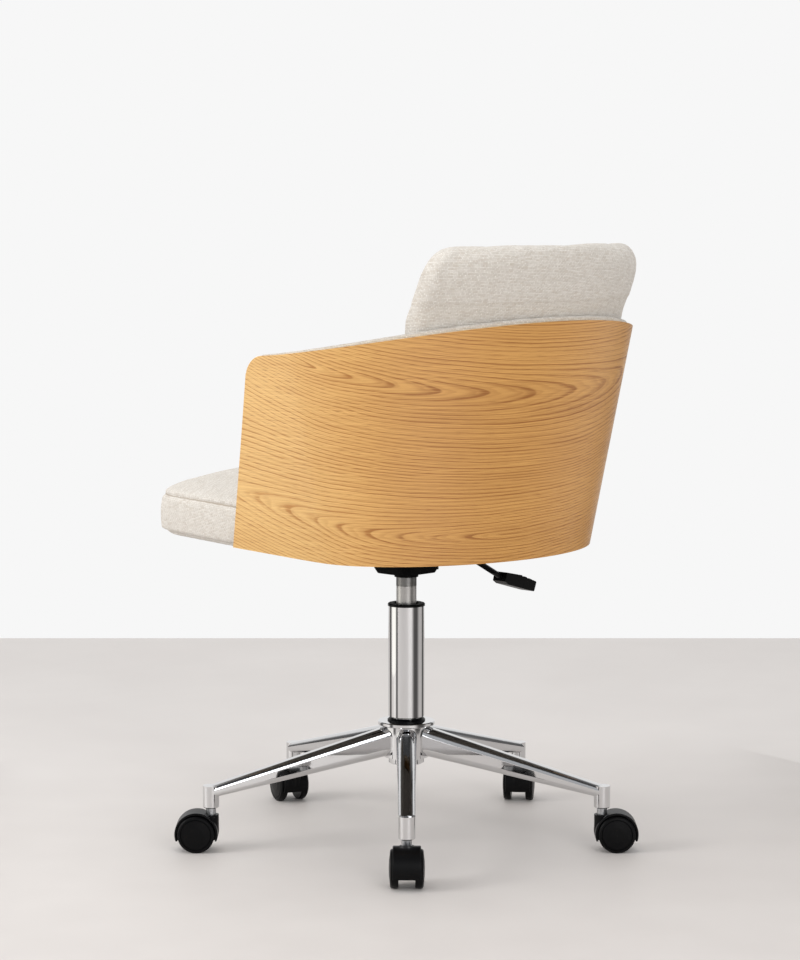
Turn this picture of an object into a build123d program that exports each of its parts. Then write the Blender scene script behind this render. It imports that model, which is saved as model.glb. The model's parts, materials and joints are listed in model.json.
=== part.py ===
"""Desk chair: bent plywood tub shell with padded seat on a gas column, five-leg base and twin-wheel castors.

Millimetres. +Z up, floor at z = 0, origin on the column axis. The sitter faces -Y and has +X on the left hand.
"""
import os
from math import atan, cos, radians, sin

from build123d import *

# Clearances
RUN_FIT = 0.05  # radial, turning and sliding fits
PRESS_GAP = 0.03  # radial, pieces pressed together
SOFT_GAP = 0.3  # round upholstery
FACE_GAP = 0.3  # between faces of pieces that move apart

# Base star
FRONT_LEG_ANGLE = 44.0  # direction of leg 1, degrees from +X
LEG_COUNT = 5
STEM_CIRCLE_R = 278.0
LEG_ROOT_H = 41.0
LEG_ROOT_W = 28.5
LEG_ROOT_TOP_Z = 156.5
LEG_TIP_H = 16.0
LEG_TIP_W = 22.0
LEG_TIP_TOP_Z = 89.0
STUB_FOOT_Z = 59.0
STUB_CHAMFER = 1.2
LEG_CHANNEL_SHARE = 0.55  # width of the open channel under a leg
LEG_CHANNEL_TOP_WALL = 4.0

HUB_R = 31.0
HUB_FLANGE_R = 39.2
HUB_FLANGE_T = 5.5
HUB_BOTTOM_Z = 113.0
HUB_RING_R = 24.5
HUB_RING_H = 8.0

# Column
COLUMN_R = 25.0
COLUMN_WALL = 2.0
COLUMN_TOP_Z = 322.4
COLUMN_NECK_R = 21.7
COLUMN_FOOT_R = 21.0
COLUMN_FOOT_WALL = 3.0
COLUMN_FLOOR_T = 5.0
FOOT_RING_H = 4.5
FOOT_RING_R = 26.0
COLLAR_R = 25.6
COLLAR_H = 3.6
COLLAR_LIP = 4.0
BUSH_LENGTH = 66.0

# Gas spring
CYLINDER_R = 14.0
CYLINDER_WALL = 2.0
CYLINDER_BOTTOM_Z = 175.0
CYLINDER_CONE_Z = 366.0  # start of the top cone
CYLINDER_TOP_Z = 400.0
CYLINDER_TOP_R = 12.6
CYLINDER_HEAD_T = 45.0
GLAND_H = 12.0
ROD_R = 5.0
ROD_END_R = 4.0
ROD_END_DROP = 6.0
ROD_TOP_Z = 262.0
PISTON_H = 18.0
PIN_R = 3.0
PIN_TOP_Z = 408.0
PIN_TAIL = 3.0
RACE_R = 14.0
RACE_T = 2.0
BALL_R = 1.5
BALL_COUNT = 10
CAGE_T = 1.4
BUMPER_R = 11.0
BUMPER_H = 17.0
CLIP_R = 8.0
CLIP_T = 1.5

# Swivel plate and lever
BOARD_Z = 423.0  # underside of the seat board
PLATE_T = 2.5
PLATE_X = 210.0
PLATE_Y = 150.0
PAN_TOP_X = 128.0
PAN_TOP_Y = 96.0
PAN_BOTTOM_X = 66.0
PAN_BOTTOM_Y = 60.0
PAN_BOTTOM_Z = 368.0
SOCKET_R = 16.5
SOCKET_FOOT_Z = 362.5
SOCKET_TOP_GAP = 1.0
BOLT_X = 86.0
BOLT_Y = 58.0
BOLT_R = 4.0
BOLT_HEAD_R = 6.8
BOLT_HEAD_H = 4.5
TNUT_R = 5.2
TNUT_FLANGE_R = 11.0
TNUT_FLANGE_T = 1.5
LEVER_R = 4.0
LEVER_PIVOT_X = -44.0
LEVER_PIVOT_Z = 400.5
LEVER_TONGUE_X = 7.0
LEVER_BEND = (-135.0, 374.0)  # x, z where the rod turns down
LEVER_GRIP_ROOT = (-190.0, 345.0)
LEVER_GRIP_TIP = (-254.0, 325.5)
LEVER_GRIP_W = 24.0
LEVER_GRIP_T = 17.0
LEVER_GRIP_RIBS = 4
LEVER_BOSS_R = 8.0
LEVER_BOSS_W = 14.0
PIVOT_PIN_R = 3.0
EAR_T = 2.5
EAR_W = 20.0

# Seat
BOARD_T = 12.0
BOARD_INSET = 9.0
SEAT_SIDE_GAP = 12.0
SEAT_REAR_DEPTH = 148.0  # of the round rear
SEAT_FRONT_HALF_W = 165.0
SEAT_FRONT_Y = -346.0
SEAT_TAPER_Y = -85.0
SEAT_SHOULDER_R = 200.0
SEAT_CORNER_R = 85.0
SEAT_SEAM_Z = 466.0
SEAT_CROWN = 29.0
SEAT_EDGE_R = 10.0
SEAT_SKIRT = 11.0  # how far the boxing hangs below the board in front of the shell
SEAT_SKIRT_Y = -112.0  # where it starts
SEAT_SKIRT_SLOPE = 14.0  # length of its rounded start
SEAM_DEPTH = 3.0

# Shell
SHELL_BOTTOM_Z = 408.4
SHELL_LOW_Z = 400.0  # level of the lower plan curve
SHELL_HIGH_Z = 740.0  # level of the upper plan curve
SHELL_LOW_HALF_W = 231.0
SHELL_HIGH_HALF_W = 308.4
SHELL_PLAN_RATIO = 0.70  # depth of the round back over its half width
SHELL_ROUND_Y = 73.0  # where the arms end and the round back starts
SHELL_WALL = 9.0
SHELL_FRONT_LOW_Y = -98.0
SHELL_FRONT_HIGH_Y = 2.0
SHELL_FRONT_RISE = 6.8  # how much the lower edge rises towards the front
SHELL_ARM_TOP_Z = 677.0
SHELL_MID_TOP_Z = 691.0
SHELL_BACK_TOP_Z = 727.0
SHELL_MID_Y = 130.0
SHELL_BACK_Y = 280.0
SHELL_ARM_CORNER_R = 36.0
SHELL_LOW_CORNER_R = 4.0
SHELL_SWEEP_R = 2500.0  # where the lower edge starts to rise
SHELL_CUT_Y = 330.0  # clear of the shell behind and beside, for the cut to outline
LINING_T = 5.0
LINING_FOOT_Z = 441.0
LINING_RIM_BACK = 6.0  # how far the lining stands above the plywood
LINING_RIM_FRONT = 1.0
LINING_SET_BACK = 2.0

# Shell brackets
BRACKET_T = 2.5
BRACKET_W = 32.0
BRACKET_UP = 17.0
BRACKET_IN = 42.0
BRACKET_GAP = 0.4
BRACKET_ARM_YS = (-45.0, 45.0)
SCREW_R = 2.0
SCREW_HEAD_R = 4.0
SCREW_HEAD_H = 2.0
BOARD_SCREW_L = 9.0
SHELL_SCREW_L = 6.0

# Back cushion
BACK_BOTTOM_Z = 503.0
BACK_TOP_Z = 820.0
BACK_HALF_W = 189.0  # at the shell rim, before the rounded ends
BACK_T = 68.0
BACK_END_T = 36.0
BACK_END_BULGE = 16.0
BACK_REAR_SAG = 51.0
BACK_CORNER_R = 42.0
BACK_SPREAD = 0.085  # half width gained per unit of height, below the shell rim
BACK_TOP_SPREAD = -0.05  # the same above the rim
BACK_TOP_LEAN = 0.20  # how much more the cushion leans back above the rim
BACK_GAP = 1.0

# Castors
WHEEL_R = 25.0
WHEEL_W = 11.0
WHEEL_GAP = 21.5  # between the inner faces of a pair
WHEEL_DOME = 1.5
WHEEL_FACE_T = 3.0
WHEEL_SIDE_GAP = 0.5
HOOD_R = 29.2
HOOD_WALL = 2.4
HOOD_W = 36.5
HOOD_LOW_Z = 16.0
HOOD_EDGE_R = 1.5
TRAIL = 19.5
AXLE_R = 3.0
STEM_NECK_R = 6.8
STEM_PIN_R = 5.5
STEM_TAIL_R = 4.0
STEM_TAIL = 16.0
STEM_BOSS_R = 10.5
STEM_NECK_FOOT_Z = 50.0
STEM_PIN_TOP_Z = 84.0
GRIP_RING_R = 5.9
GRIP_RING_H = 3.0
GRIP_RING_Z = 77.0
TRAIL_ANGLES = (44.0, 134.0, 218.0, 248.0, 314.0)  # where each castor points at rest

# Levels that follow from the sizes above
HUB_TOP_Z = LEG_ROOT_TOP_Z + 1.0 + HUB_FLANGE_T
COLUMN_NECK_Z = HUB_TOP_Z + FOOT_RING_H + 0.5
SEAT_HALF_W = SHELL_LOW_HALF_W - SEAT_SIDE_GAP
COLUMN_FOOT_Z = HUB_BOTTOM_Z - HUB_RING_H - 2.0
FLOOR_TOP_Z = COLUMN_FOOT_Z + COLUMN_FLOOR_T
CAGE_Z = FLOOR_TOP_Z + RACE_T
UPPER_RACE_Z = CAGE_Z + 2 * BALL_R
ROD_SHOULDER_Z = UPPER_RACE_Z + RACE_T
CAVITY_TOP_Z = CYLINDER_TOP_Z - CYLINDER_HEAD_T
BUSH_TOP_Z = COLUMN_TOP_Z - COLLAR_LIP
FLANGE_Z = BOARD_Z - PLATE_T
BOARD_TOP_Z = BOARD_Z + BOARD_T
CONE_SLOPE = (CYLINDER_R - CYLINDER_TOP_R) / (CYLINDER_TOP_Z - CYLINDER_CONE_Z)
AXLE_Z = WHEEL_R

os.makedirs("parts", exist_ok=True)


def save(builder, name):
    """Label a finished piece and write it."""
    builder.part.label = name
    export_step(builder.part, f"parts/{name}.step")


def direction(angle):
    """Level unit vector at an angle from +X."""
    return Vector(cos(radians(angle)), sin(radians(angle)), 0)


def ring_profile(points):
    """Half section of a turned piece, given as radius and height pairs, drawn in the XZ plane."""
    with BuildSketch(Plane.XZ) as profile:
        with BuildLine():
            Polyline(*points, close=True)
        make_face()
    return profile.sketch


LEG_ANGLES = [FRONT_LEG_ANGLE + 360.0 / LEG_COUNT * i for i in range(LEG_COUNT)]

# Base hub: turned body with a top flange, a foot ring and a conical bore for the column
HUB_BORE_SLOPE = (COLUMN_NECK_R - COLUMN_FOOT_R) / (COLUMN_NECK_Z - COLUMN_FOOT_Z)


def column_foot_radius(z):
    """Outer radius of the column's conical foot at a height."""
    return COLUMN_FOOT_R + HUB_BORE_SLOPE * (z - COLUMN_FOOT_Z)


hub_ring_z = HUB_BOTTOM_Z - HUB_RING_H
with BuildPart() as base_hub:
    add(ring_profile([
        (column_foot_radius(hub_ring_z) + PRESS_GAP, hub_ring_z),
        (HUB_RING_R, hub_ring_z),
        (HUB_RING_R, HUB_BOTTOM_Z),
        (HUB_R, HUB_BOTTOM_Z),
        (HUB_R, HUB_TOP_Z - HUB_FLANGE_T),
        (HUB_FLANGE_R, HUB_TOP_Z - HUB_FLANGE_T),
        (HUB_FLANGE_R, HUB_TOP_Z),
        (column_foot_radius(HUB_TOP_Z) + PRESS_GAP, HUB_TOP_Z),
    ]))
    revolve(axis=Axis.Z)
    chamfer(base_hub.edges().filter_by(GeomType.CIRCLE).group_by(SortBy.RADIUS)[-1], length=1.0)
save(base_hub, "base_hub")

# Legs: tapered oval tubes, open underneath, each ending in an upright stub for a castor stem
for index, angle in enumerate(LEG_ANGLES, start=1):
    out = direction(angle)
    across = direction(angle + 90)

    def leg_plane(r, z):
        """Upright plane square to this leg, with its x axis across the leg."""
        return Plane(origin=out * r + Vector(0, 0, z), x_dir=across, z_dir=out)

    root_r = HUB_R - 4.0
    tip_z = LEG_TIP_TOP_Z - LEG_TIP_H / 2
    root_z = LEG_ROOT_TOP_Z - LEG_ROOT_H / 2
    stem = Plane(origin=out * STEM_CIRCLE_R)
    with BuildPart() as base_leg:
        with BuildSketch(leg_plane(root_r, root_z)):
            RectangleRounded(LEG_ROOT_W, LEG_ROOT_H, LEG_ROOT_W * 0.42)
        with BuildSketch(leg_plane(STEM_CIRCLE_R, tip_z)):
            RectangleRounded(LEG_TIP_W, LEG_TIP_H, LEG_TIP_H * 0.42)
        loft()
        with BuildSketch(leg_plane(root_r + 40.0, HUB_BOTTOM_Z)):
            Rectangle(LEG_ROOT_W * LEG_CHANNEL_SHARE, LEG_ROOT_H * 0.9)
        with BuildSketch(leg_plane(STEM_CIRCLE_R - LEG_TIP_W / 2 - 2.0, LEG_TIP_TOP_Z - LEG_TIP_H)):
            Rectangle(LEG_TIP_W * LEG_CHANNEL_SHARE, 2 * (LEG_TIP_H - LEG_CHANNEL_TOP_WALL))
        loft(mode=Mode.SUBTRACT)
        with BuildSketch(stem.offset(STUB_FOOT_Z)):
            Circle(LEG_TIP_W / 2)
        extrude(amount=LEG_TIP_TOP_Z - STUB_FOOT_Z)
        chamfer(base_leg.edges().filter_by(GeomType.CIRCLE).sort_by(Axis.Z)[0], length=STUB_CHAMFER)
        with BuildSketch(stem.offset(STUB_FOOT_Z)):
            Circle(STEM_PIN_R + RUN_FIT)
        extrude(amount=STEM_PIN_TOP_Z + 1.0 - STUB_FOOT_Z, mode=Mode.SUBTRACT)
        with BuildSketch(stem.offset(GRIP_RING_Z - 1.0)):
            Circle(GRIP_RING_R + RUN_FIT)
        extrude(amount=GRIP_RING_H + 2.0, mode=Mode.SUBTRACT)
        with BuildSketch(Plane.XY.offset(HUB_BOTTOM_Z - LEG_ROOT_H)):
            Circle(HUB_R)
        extrude(amount=2 * LEG_ROOT_H + LEG_ROOT_TOP_Z, mode=Mode.SUBTRACT)
    save(base_leg, f"base_leg_{index}")

# Column: chromed outer tube, swaged at its foot, with a floor that carries the thrust bearing
with BuildPart() as column_tube:
    add(ring_profile([
        (ROD_END_R + 0.5, COLUMN_FOOT_Z),
        (COLUMN_FOOT_R, COLUMN_FOOT_Z),
        (COLUMN_NECK_R, COLUMN_NECK_Z),
        (COLUMN_R, COLUMN_NECK_Z + 1.5),
        (COLUMN_R, COLUMN_TOP_Z),
        (COLUMN_R - COLUMN_WALL, COLUMN_TOP_Z),
        (COLUMN_R - COLUMN_WALL, COLUMN_NECK_Z + 5.0),
        (COLUMN_NECK_R - COLUMN_FOOT_WALL, COLUMN_NECK_Z + 3.0),
        (COLUMN_FOOT_R - COLUMN_FOOT_WALL, FLOOR_TOP_Z),
        (ROD_END_R + 0.5, FLOOR_TOP_Z),
    ]))
    revolve(axis=Axis.Z)
save(column_tube, "column_tube")

foot_ring_r = column_foot_radius(HUB_TOP_Z + FOOT_RING_H) + 2 * PRESS_GAP
with BuildPart() as column_foot_ring:
    add(ring_profile([
        (foot_ring_r, HUB_TOP_Z),
        (FOOT_RING_R, HUB_TOP_Z),
        (FOOT_RING_R, HUB_TOP_Z + 1.5),
        (COLUMN_NECK_R + 1.0, HUB_TOP_Z + FOOT_RING_H),
        (foot_ring_r, HUB_TOP_Z + FOOT_RING_H),
    ]))
    revolve(axis=Axis.Z)
save(column_foot_ring, "column_foot_ring")

with BuildPart() as column_collar:
    add(ring_profile([
        (CYLINDER_R + 0.4, BUSH_TOP_Z),
        (COLUMN_R - COLUMN_WALL - PRESS_GAP, BUSH_TOP_Z),
        (COLUMN_R - COLUMN_WALL - PRESS_GAP, COLUMN_TOP_Z),
        (COLLAR_R, COLUMN_TOP_Z),
        (COLLAR_R, COLUMN_TOP_Z + COLLAR_H - 1.0),
        (COLLAR_R - 1.0, COLUMN_TOP_Z + COLLAR_H),
        (CYLINDER_R + 3.4, COLUMN_TOP_Z + COLLAR_H),
        (CYLINDER_R + 0.4, COLUMN_TOP_Z + COLLAR_H - 2.5),
    ]))
    revolve(axis=Axis.Z)
save(column_collar, "column_collar")

with BuildPart() as guide_bush:
    with BuildSketch(Plane.XY.offset(BUSH_TOP_Z - BUSH_LENGTH)):
        Circle(COLUMN_R - COLUMN_WALL - PRESS_GAP)
        Circle(CYLINDER_R + RUN_FIT, mode=Mode.SUBTRACT)
    extrude(amount=BUSH_LENGTH)
    chamfer(guide_bush.edges().group_by(Axis.Z)[0], length=0.8)
save(guide_bush, "guide_bush")

# Thrust bearing on the column floor
for name, z in (("lower_race", FLOOR_TOP_Z), ("upper_race", UPPER_RACE_Z)):
    with BuildPart() as race:
        with BuildSketch(Plane.XY.offset(z)):
            Circle(RACE_R)
            Circle(ROD_END_R + RUN_FIT, mode=Mode.SUBTRACT)
        extrude(amount=RACE_T)
    save(race, f"bearing_{name}")

ball_circle_r = (RACE_R + ROD_END_R) / 2
with BuildPart() as bearing_ball_cage:
    with BuildSketch(Plane.XY.offset(CAGE_Z + BALL_R - CAGE_T / 2)):
        Circle(RACE_R - 0.5)
        Circle(ROD_END_R + 0.5, mode=Mode.SUBTRACT)
        with PolarLocations(ball_circle_r, BALL_COUNT):
            Circle(BALL_R + RUN_FIT, mode=Mode.SUBTRACT)
    extrude(amount=CAGE_T)
    with Locations((0, 0, CAGE_Z + BALL_R)):
        with PolarLocations(ball_circle_r, BALL_COUNT):
            Sphere(BALL_R - 0.02)
save(bearing_ball_cage, "bearing_ball_cage")

# Gas spring: rod, piston, bumper and clip stay with the column, the cylinder slides over them
rod_foot_z = COLUMN_FOOT_Z - ROD_END_DROP
clip_z = COLUMN_FOOT_Z - FACE_GAP - CLIP_T
with BuildPart() as piston_rod:
    add(ring_profile([
        (0, rod_foot_z),
        (ROD_END_R - 0.6, rod_foot_z),
        (ROD_END_R, rod_foot_z + 0.6),
        (ROD_END_R, clip_z),
        (ROD_END_R - 1.0, clip_z),
        (ROD_END_R - 1.0, clip_z + CLIP_T),
        (ROD_END_R, clip_z + CLIP_T),
        (ROD_END_R, ROD_SHOULDER_Z),
        (ROD_R, ROD_SHOULDER_Z),
        (ROD_R, ROD_TOP_Z - PISTON_H),
        (ROD_END_R, ROD_TOP_Z - PISTON_H),
        (ROD_END_R, ROD_TOP_Z),
        (0, ROD_TOP_Z),
    ]))
    revolve(axis=Axis.Z)
save(piston_rod, "piston_rod")

cylinder_bore_r = CYLINDER_R - CYLINDER_WALL
with BuildPart() as piston:
    add(ring_profile([
        (ROD_END_R + PRESS_GAP, ROD_TOP_Z - PISTON_H),
        (cylinder_bore_r - RUN_FIT, ROD_TOP_Z - PISTON_H),
        (cylinder_bore_r - RUN_FIT, ROD_TOP_Z - PISTON_H * 0.62),
        (cylinder_bore_r - 1.5, ROD_TOP_Z - PISTON_H * 0.62),
        (cylinder_bore_r - 1.5, ROD_TOP_Z - PISTON_H * 0.38),
        (cylinder_bore_r - RUN_FIT, ROD_TOP_Z - PISTON_H * 0.38),
        (cylinder_bore_r - RUN_FIT, ROD_TOP_Z),
        (ROD_END_R + PRESS_GAP, ROD_TOP_Z),
    ]))
    revolve(axis=Axis.Z)
save(piston, "piston")

with BuildPart() as bumper:
    with BuildSketch(Plane.XY.offset(ROD_SHOULDER_Z + FACE_GAP)):
        Circle(BUMPER_R)
        Circle(ROD_R + 0.1, mode=Mode.SUBTRACT)
    extrude(amount=BUMPER_H)
    fillet(bumper.edges().group_by(Axis.Z)[-1].sort_by(SortBy.RADIUS)[-1], radius=2.0)
save(bumper, "bumper")

with BuildPart() as rod_clip:
    with BuildSketch(Plane.XY.offset(clip_z)):
        Circle(CLIP_R)
        Circle(ROD_END_R - 1.0 + PRESS_GAP, mode=Mode.SUBTRACT)
        with Locations((CLIP_R / 2, 0)):
            Rectangle(CLIP_R, 2 * (ROD_END_R - 1.6), mode=Mode.SUBTRACT)
    extrude(amount=CLIP_T)
save(rod_clip, "rod_clip")

with BuildPart() as gas_cylinder:
    add(ring_profile([
        (cylinder_bore_r, CYLINDER_BOTTOM_Z),
        (CYLINDER_R - 0.8, CYLINDER_BOTTOM_Z),
        (CYLINDER_R, CYLINDER_BOTTOM_Z + 0.8),
        (CYLINDER_R, CYLINDER_CONE_Z),
        (CYLINDER_TOP_R, CYLINDER_TOP_Z),
        (PIN_R + RUN_FIT, CYLINDER_TOP_Z),
        (PIN_R + RUN_FIT, CAVITY_TOP_Z),
        (cylinder_bore_r, CAVITY_TOP_Z),
    ]))
    revolve(axis=Axis.Z)
save(gas_cylinder, "gas_cylinder")

with BuildPart() as cylinder_gland:
    with BuildSketch(Plane.XY.offset(CYLINDER_BOTTOM_Z)):
        Circle(cylinder_bore_r - PRESS_GAP)
        Circle(ROD_R + RUN_FIT, mode=Mode.SUBTRACT)
    extrude(amount=GLAND_H)
save(cylinder_gland, "cylinder_gland")

with BuildPart() as release_pin:
    with BuildSketch(Plane.XY.offset(CAVITY_TOP_Z - PIN_TAIL)):
        Circle(PIN_R)
    extrude(amount=PIN_TOP_Z - CAVITY_TOP_Z + PIN_TAIL)
    fillet(release_pin.edges().group_by(Axis.Z)[-1], radius=PIN_R * 0.8)
save(release_pin, "release_pin")

# Swivel plate: drawn pan with a bolting flange, a welded cone socket and two ears for the lever
rod_run_x = LEVER_BEND[0] - LEVER_PIVOT_X
rod_slope = (LEVER_BEND[1] - LEVER_PIVOT_Z) / rod_run_x
with BuildPart() as swivel_plate:
    with BuildSketch(Plane.XY.offset(FLANGE_Z)):
        RectangleRounded(PLATE_X, PLATE_Y, 14.0)
    extrude(amount=PLATE_T)
    with BuildSketch(Plane.XY.offset(PAN_BOTTOM_Z)):
        RectangleRounded(PAN_BOTTOM_X, PAN_BOTTOM_Y, 12.0)
    with BuildSketch(Plane.XY.offset(FLANGE_Z)):
        RectangleRounded(PAN_TOP_X, PAN_TOP_Y, 16.0)
    loft()
    with BuildSketch(Plane.XY.offset(PAN_BOTTOM_Z + PLATE_T)):
        RectangleRounded(PAN_BOTTOM_X - 2 * PLATE_T, PAN_BOTTOM_Y - 2 * PLATE_T, 12.0 - PLATE_T)
    with BuildSketch(Plane.XY.offset(FLANGE_Z + PLATE_T)):
        RectangleRounded(PAN_TOP_X - 2 * PLATE_T, PAN_TOP_Y - 2 * PLATE_T, 16.0 - PLATE_T)
    loft(mode=Mode.SUBTRACT)
    with BuildSketch(Plane.XZ.offset(-EAR_T - LEVER_BOSS_W / 2 - FACE_GAP)) as ear:
        with Locations((LEVER_PIVOT_X, (PAN_BOTTOM_Z + LEVER_PIVOT_Z) / 2 + 4.0)):
            Rectangle(EAR_W, LEVER_PIVOT_Z - PAN_BOTTOM_Z + 8.0)
    extrude(amount=EAR_T)
    extrude(ear.sketch.moved(Location((0, -2 * (LEVER_BOSS_W / 2 + FACE_GAP) - EAR_T, 0))), amount=EAR_T)
    with BuildSketch(Plane.XZ.offset(-PLATE_Y / 2)):
        with Locations((LEVER_PIVOT_X, LEVER_PIVOT_Z)):
            Circle(PIVOT_PIN_R + PRESS_GAP)
    extrude(amount=PLATE_Y, mode=Mode.SUBTRACT)
    with BuildSketch(Plane.YZ.offset(-PAN_TOP_X)):
        with Locations((0, LEVER_PIVOT_Z + rod_slope * (-PAN_TOP_X / 2 - LEVER_PIVOT_X) + 1.0)):
            RectangleRounded(LEVER_BOSS_W + 2 * FACE_GAP, 7 * LEVER_R, 3.0)
    extrude(amount=PAN_TOP_X + LEVER_PIVOT_X + LEVER_BOSS_R, mode=Mode.SUBTRACT)
    with BuildSketch(Plane.XY.offset(FLANGE_Z)):
        with GridLocations(2 * BOLT_X, 2 * BOLT_Y, 2, 2):
            SlotOverall(2 * BOLT_R + 5.0, 2 * BOLT_R + 0.6)
    extrude(amount=PLATE_T, mode=Mode.SUBTRACT)
    with BuildSketch(Plane.XY.offset(SOCKET_FOOT_Z)):
        Circle(SOCKET_R)
    extrude(amount=CYLINDER_TOP_Z - SOCKET_TOP_GAP - SOCKET_FOOT_Z)
    cone_foot_r = CYLINDER_R + PRESS_GAP
    cone_top_z = CYLINDER_TOP_Z + 5.0
    add(ring_profile([
        (0, SOCKET_FOOT_Z),
        (cone_foot_r, SOCKET_FOOT_Z),
        (cone_foot_r, CYLINDER_CONE_Z),
        (CYLINDER_R - CONE_SLOPE * (cone_top_z - CYLINDER_CONE_Z) + PRESS_GAP, cone_top_z),
        (0, cone_top_z),
    ]))
    revolve(axis=Axis.Z, mode=Mode.SUBTRACT)
save(swivel_plate, "swivel_plate")

# Lever: bent rod with a pivot boss and a flat tongue over the release pin, and its moulded grip
tongue_z = PIN_TOP_Z + FACE_GAP
with BuildPart() as lever_rod:
    with BuildLine() as rod_path:
        FilletPolyline(
            (LEVER_PIVOT_X, 0, LEVER_PIVOT_Z),
            (LEVER_BEND[0], 0, LEVER_BEND[1]),
            (LEVER_GRIP_ROOT[0], 0, LEVER_GRIP_ROOT[1]),
            (LEVER_GRIP_TIP[0] * 0.6 + LEVER_GRIP_ROOT[0] * 0.4, 0,
             LEVER_GRIP_TIP[1] * 0.6 + LEVER_GRIP_ROOT[1] * 0.4),
            radius=18.0,
        )
    with BuildSketch(Plane(origin=rod_path.line @ 0, z_dir=rod_path.line % 0)):
        Circle(LEVER_R)
    sweep()
    with BuildSketch(Plane.XZ.offset(-LEVER_BOSS_W / 2)):
        with Locations((LEVER_PIVOT_X, LEVER_PIVOT_Z)):
            Circle(LEVER_BOSS_R)
        with BuildLine():
            Polyline(
                (LEVER_PIVOT_X, LEVER_PIVOT_Z + LEVER_BOSS_R),
                (LEVER_PIVOT_X, LEVER_PIVOT_Z + 2.0),
                (-PIN_R - 3.0, tongue_z),
                (LEVER_TONGUE_X, tongue_z),
                (LEVER_TONGUE_X, tongue_z + 5.0),
                (-PIN_R - 3.0, tongue_z + 5.0),
                close=True,
            )
        make_face()
    extrude(amount=LEVER_BOSS_W)
    with BuildSketch(Plane.XZ.offset(-LEVER_BOSS_W)):
        with Locations((LEVER_PIVOT_X, LEVER_PIVOT_Z)):
            Circle(PIVOT_PIN_R + RUN_FIT)
    extrude(amount=2 * LEVER_BOSS_W, mode=Mode.SUBTRACT)
save(lever_rod, "lever_rod")

grip_run = Vector(LEVER_GRIP_TIP[0] - LEVER_GRIP_ROOT[0], 0, LEVER_GRIP_TIP[1] - LEVER_GRIP_ROOT[1])
grip_length = grip_run.length
grip_plane = Plane(
    origin=(LEVER_GRIP_ROOT[0], 0, LEVER_GRIP_ROOT[1]), x_dir=grip_run.normalized(), z_dir=(0, -1, 0)
)
with BuildPart() as lever_grip:
    with BuildSketch(grip_plane):
        with BuildLine():
            Polyline(
                (2.0, LEVER_GRIP_T * 0.42),
                (10.0, LEVER_GRIP_T * 0.58),
                (grip_length, LEVER_GRIP_T * 0.5),
                (grip_length + 1.0, -LEVER_GRIP_T * 0.36),
                (grip_length * 0.85, -LEVER_GRIP_T * 0.42),
                (grip_length * 0.5, -LEVER_GRIP_T * 0.52),
                (14.0, -LEVER_GRIP_T * 0.42),
                (2.0, -LEVER_GRIP_T * 0.36),
                close=True,
            )
        make_face()
    extrude(amount=LEVER_GRIP_W / 2, both=True)
    fillet(lever_grip.edges().filter_by(Axis.Y).sort_by(Axis.X)[0:2], radius=2.0)
    for rib in range(LEVER_GRIP_RIBS):
        rib_x = grip_length * (0.42 + 0.15 * rib)
        with BuildSketch(grip_plane):
            with Locations((rib_x, -LEVER_GRIP_T * 0.60)):
                Circle(LEVER_GRIP_T * 0.2)
        extrude(amount=LEVER_GRIP_W, both=True, mode=Mode.SUBTRACT)
    with BuildLine() as grip_path:
        FilletPolyline(
            (LEVER_BEND[0], 0, LEVER_BEND[1]),
            (LEVER_GRIP_ROOT[0], 0, LEVER_GRIP_ROOT[1]),
            (LEVER_GRIP_TIP[0] * 0.62 + LEVER_GRIP_ROOT[0] * 0.38, 0,
             LEVER_GRIP_TIP[1] * 0.62 + LEVER_GRIP_ROOT[1] * 0.38),
            radius=18.0,
        )
    with BuildSketch(Plane(origin=grip_path.line @ 0, z_dir=grip_path.line % 0)):
        Circle(LEVER_R + PRESS_GAP)
    sweep(mode=Mode.SUBTRACT)
save(lever_grip, "lever_grip")

pivot_pin_l = LEVER_BOSS_W + 2 * (FACE_GAP + EAR_T) + 2.0
with BuildPart() as lever_pivot_pin:
    with BuildSketch(Plane.XZ.offset(-pivot_pin_l / 2)):
        with Locations((LEVER_PIVOT_X, LEVER_PIVOT_Z)):
            Circle(PIVOT_PIN_R)
    extrude(amount=pivot_pin_l)
save(lever_pivot_pin, "lever_pivot_pin")

# Plate bolts run up through the flange into tee nuts let into the top of the board
BOLT_TIP_Z = BOARD_TOP_Z - TNUT_FLANGE_T
with BuildPart() as plate_bolts:
    with BuildSketch(Plane.XY.offset(FLANGE_Z - BOLT_HEAD_H)):
        with GridLocations(2 * BOLT_X, 2 * BOLT_Y, 2, 2):
            RegularPolygon(BOLT_HEAD_R, 6)
    extrude(amount=BOLT_HEAD_H)
    with BuildSketch(Plane.XY.offset(FLANGE_Z)):
        with GridLocations(2 * BOLT_X, 2 * BOLT_Y, 2, 2):
            Circle(BOLT_R)
    extrude(amount=BOLT_TIP_Z - FLANGE_Z)
save(plate_bolts, "plate_bolts")

with BuildPart() as tee_nuts:
    with BuildSketch(Plane.XY.offset(BOLT_TIP_Z)):
        with GridLocations(2 * BOLT_X, 2 * BOLT_Y, 2, 2):
            Circle(TNUT_FLANGE_R)
    extrude(amount=TNUT_FLANGE_T)
    with BuildSketch(Plane.XY.offset(BOARD_Z + 2.0)):
        with GridLocations(2 * BOLT_X, 2 * BOLT_Y, 2, 2):
            Circle(TNUT_R)
    extrude(amount=BOLT_TIP_Z - BOARD_Z - 2.0)
    with BuildSketch(Plane.XY.offset(BOARD_Z)):
        with GridLocations(2 * BOLT_X, 2 * BOLT_Y, 2, 2):
            Circle(BOLT_R + PRESS_GAP)
    extrude(amount=BOARD_T, mode=Mode.SUBTRACT)
save(tee_nuts, "tee_nuts")


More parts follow.
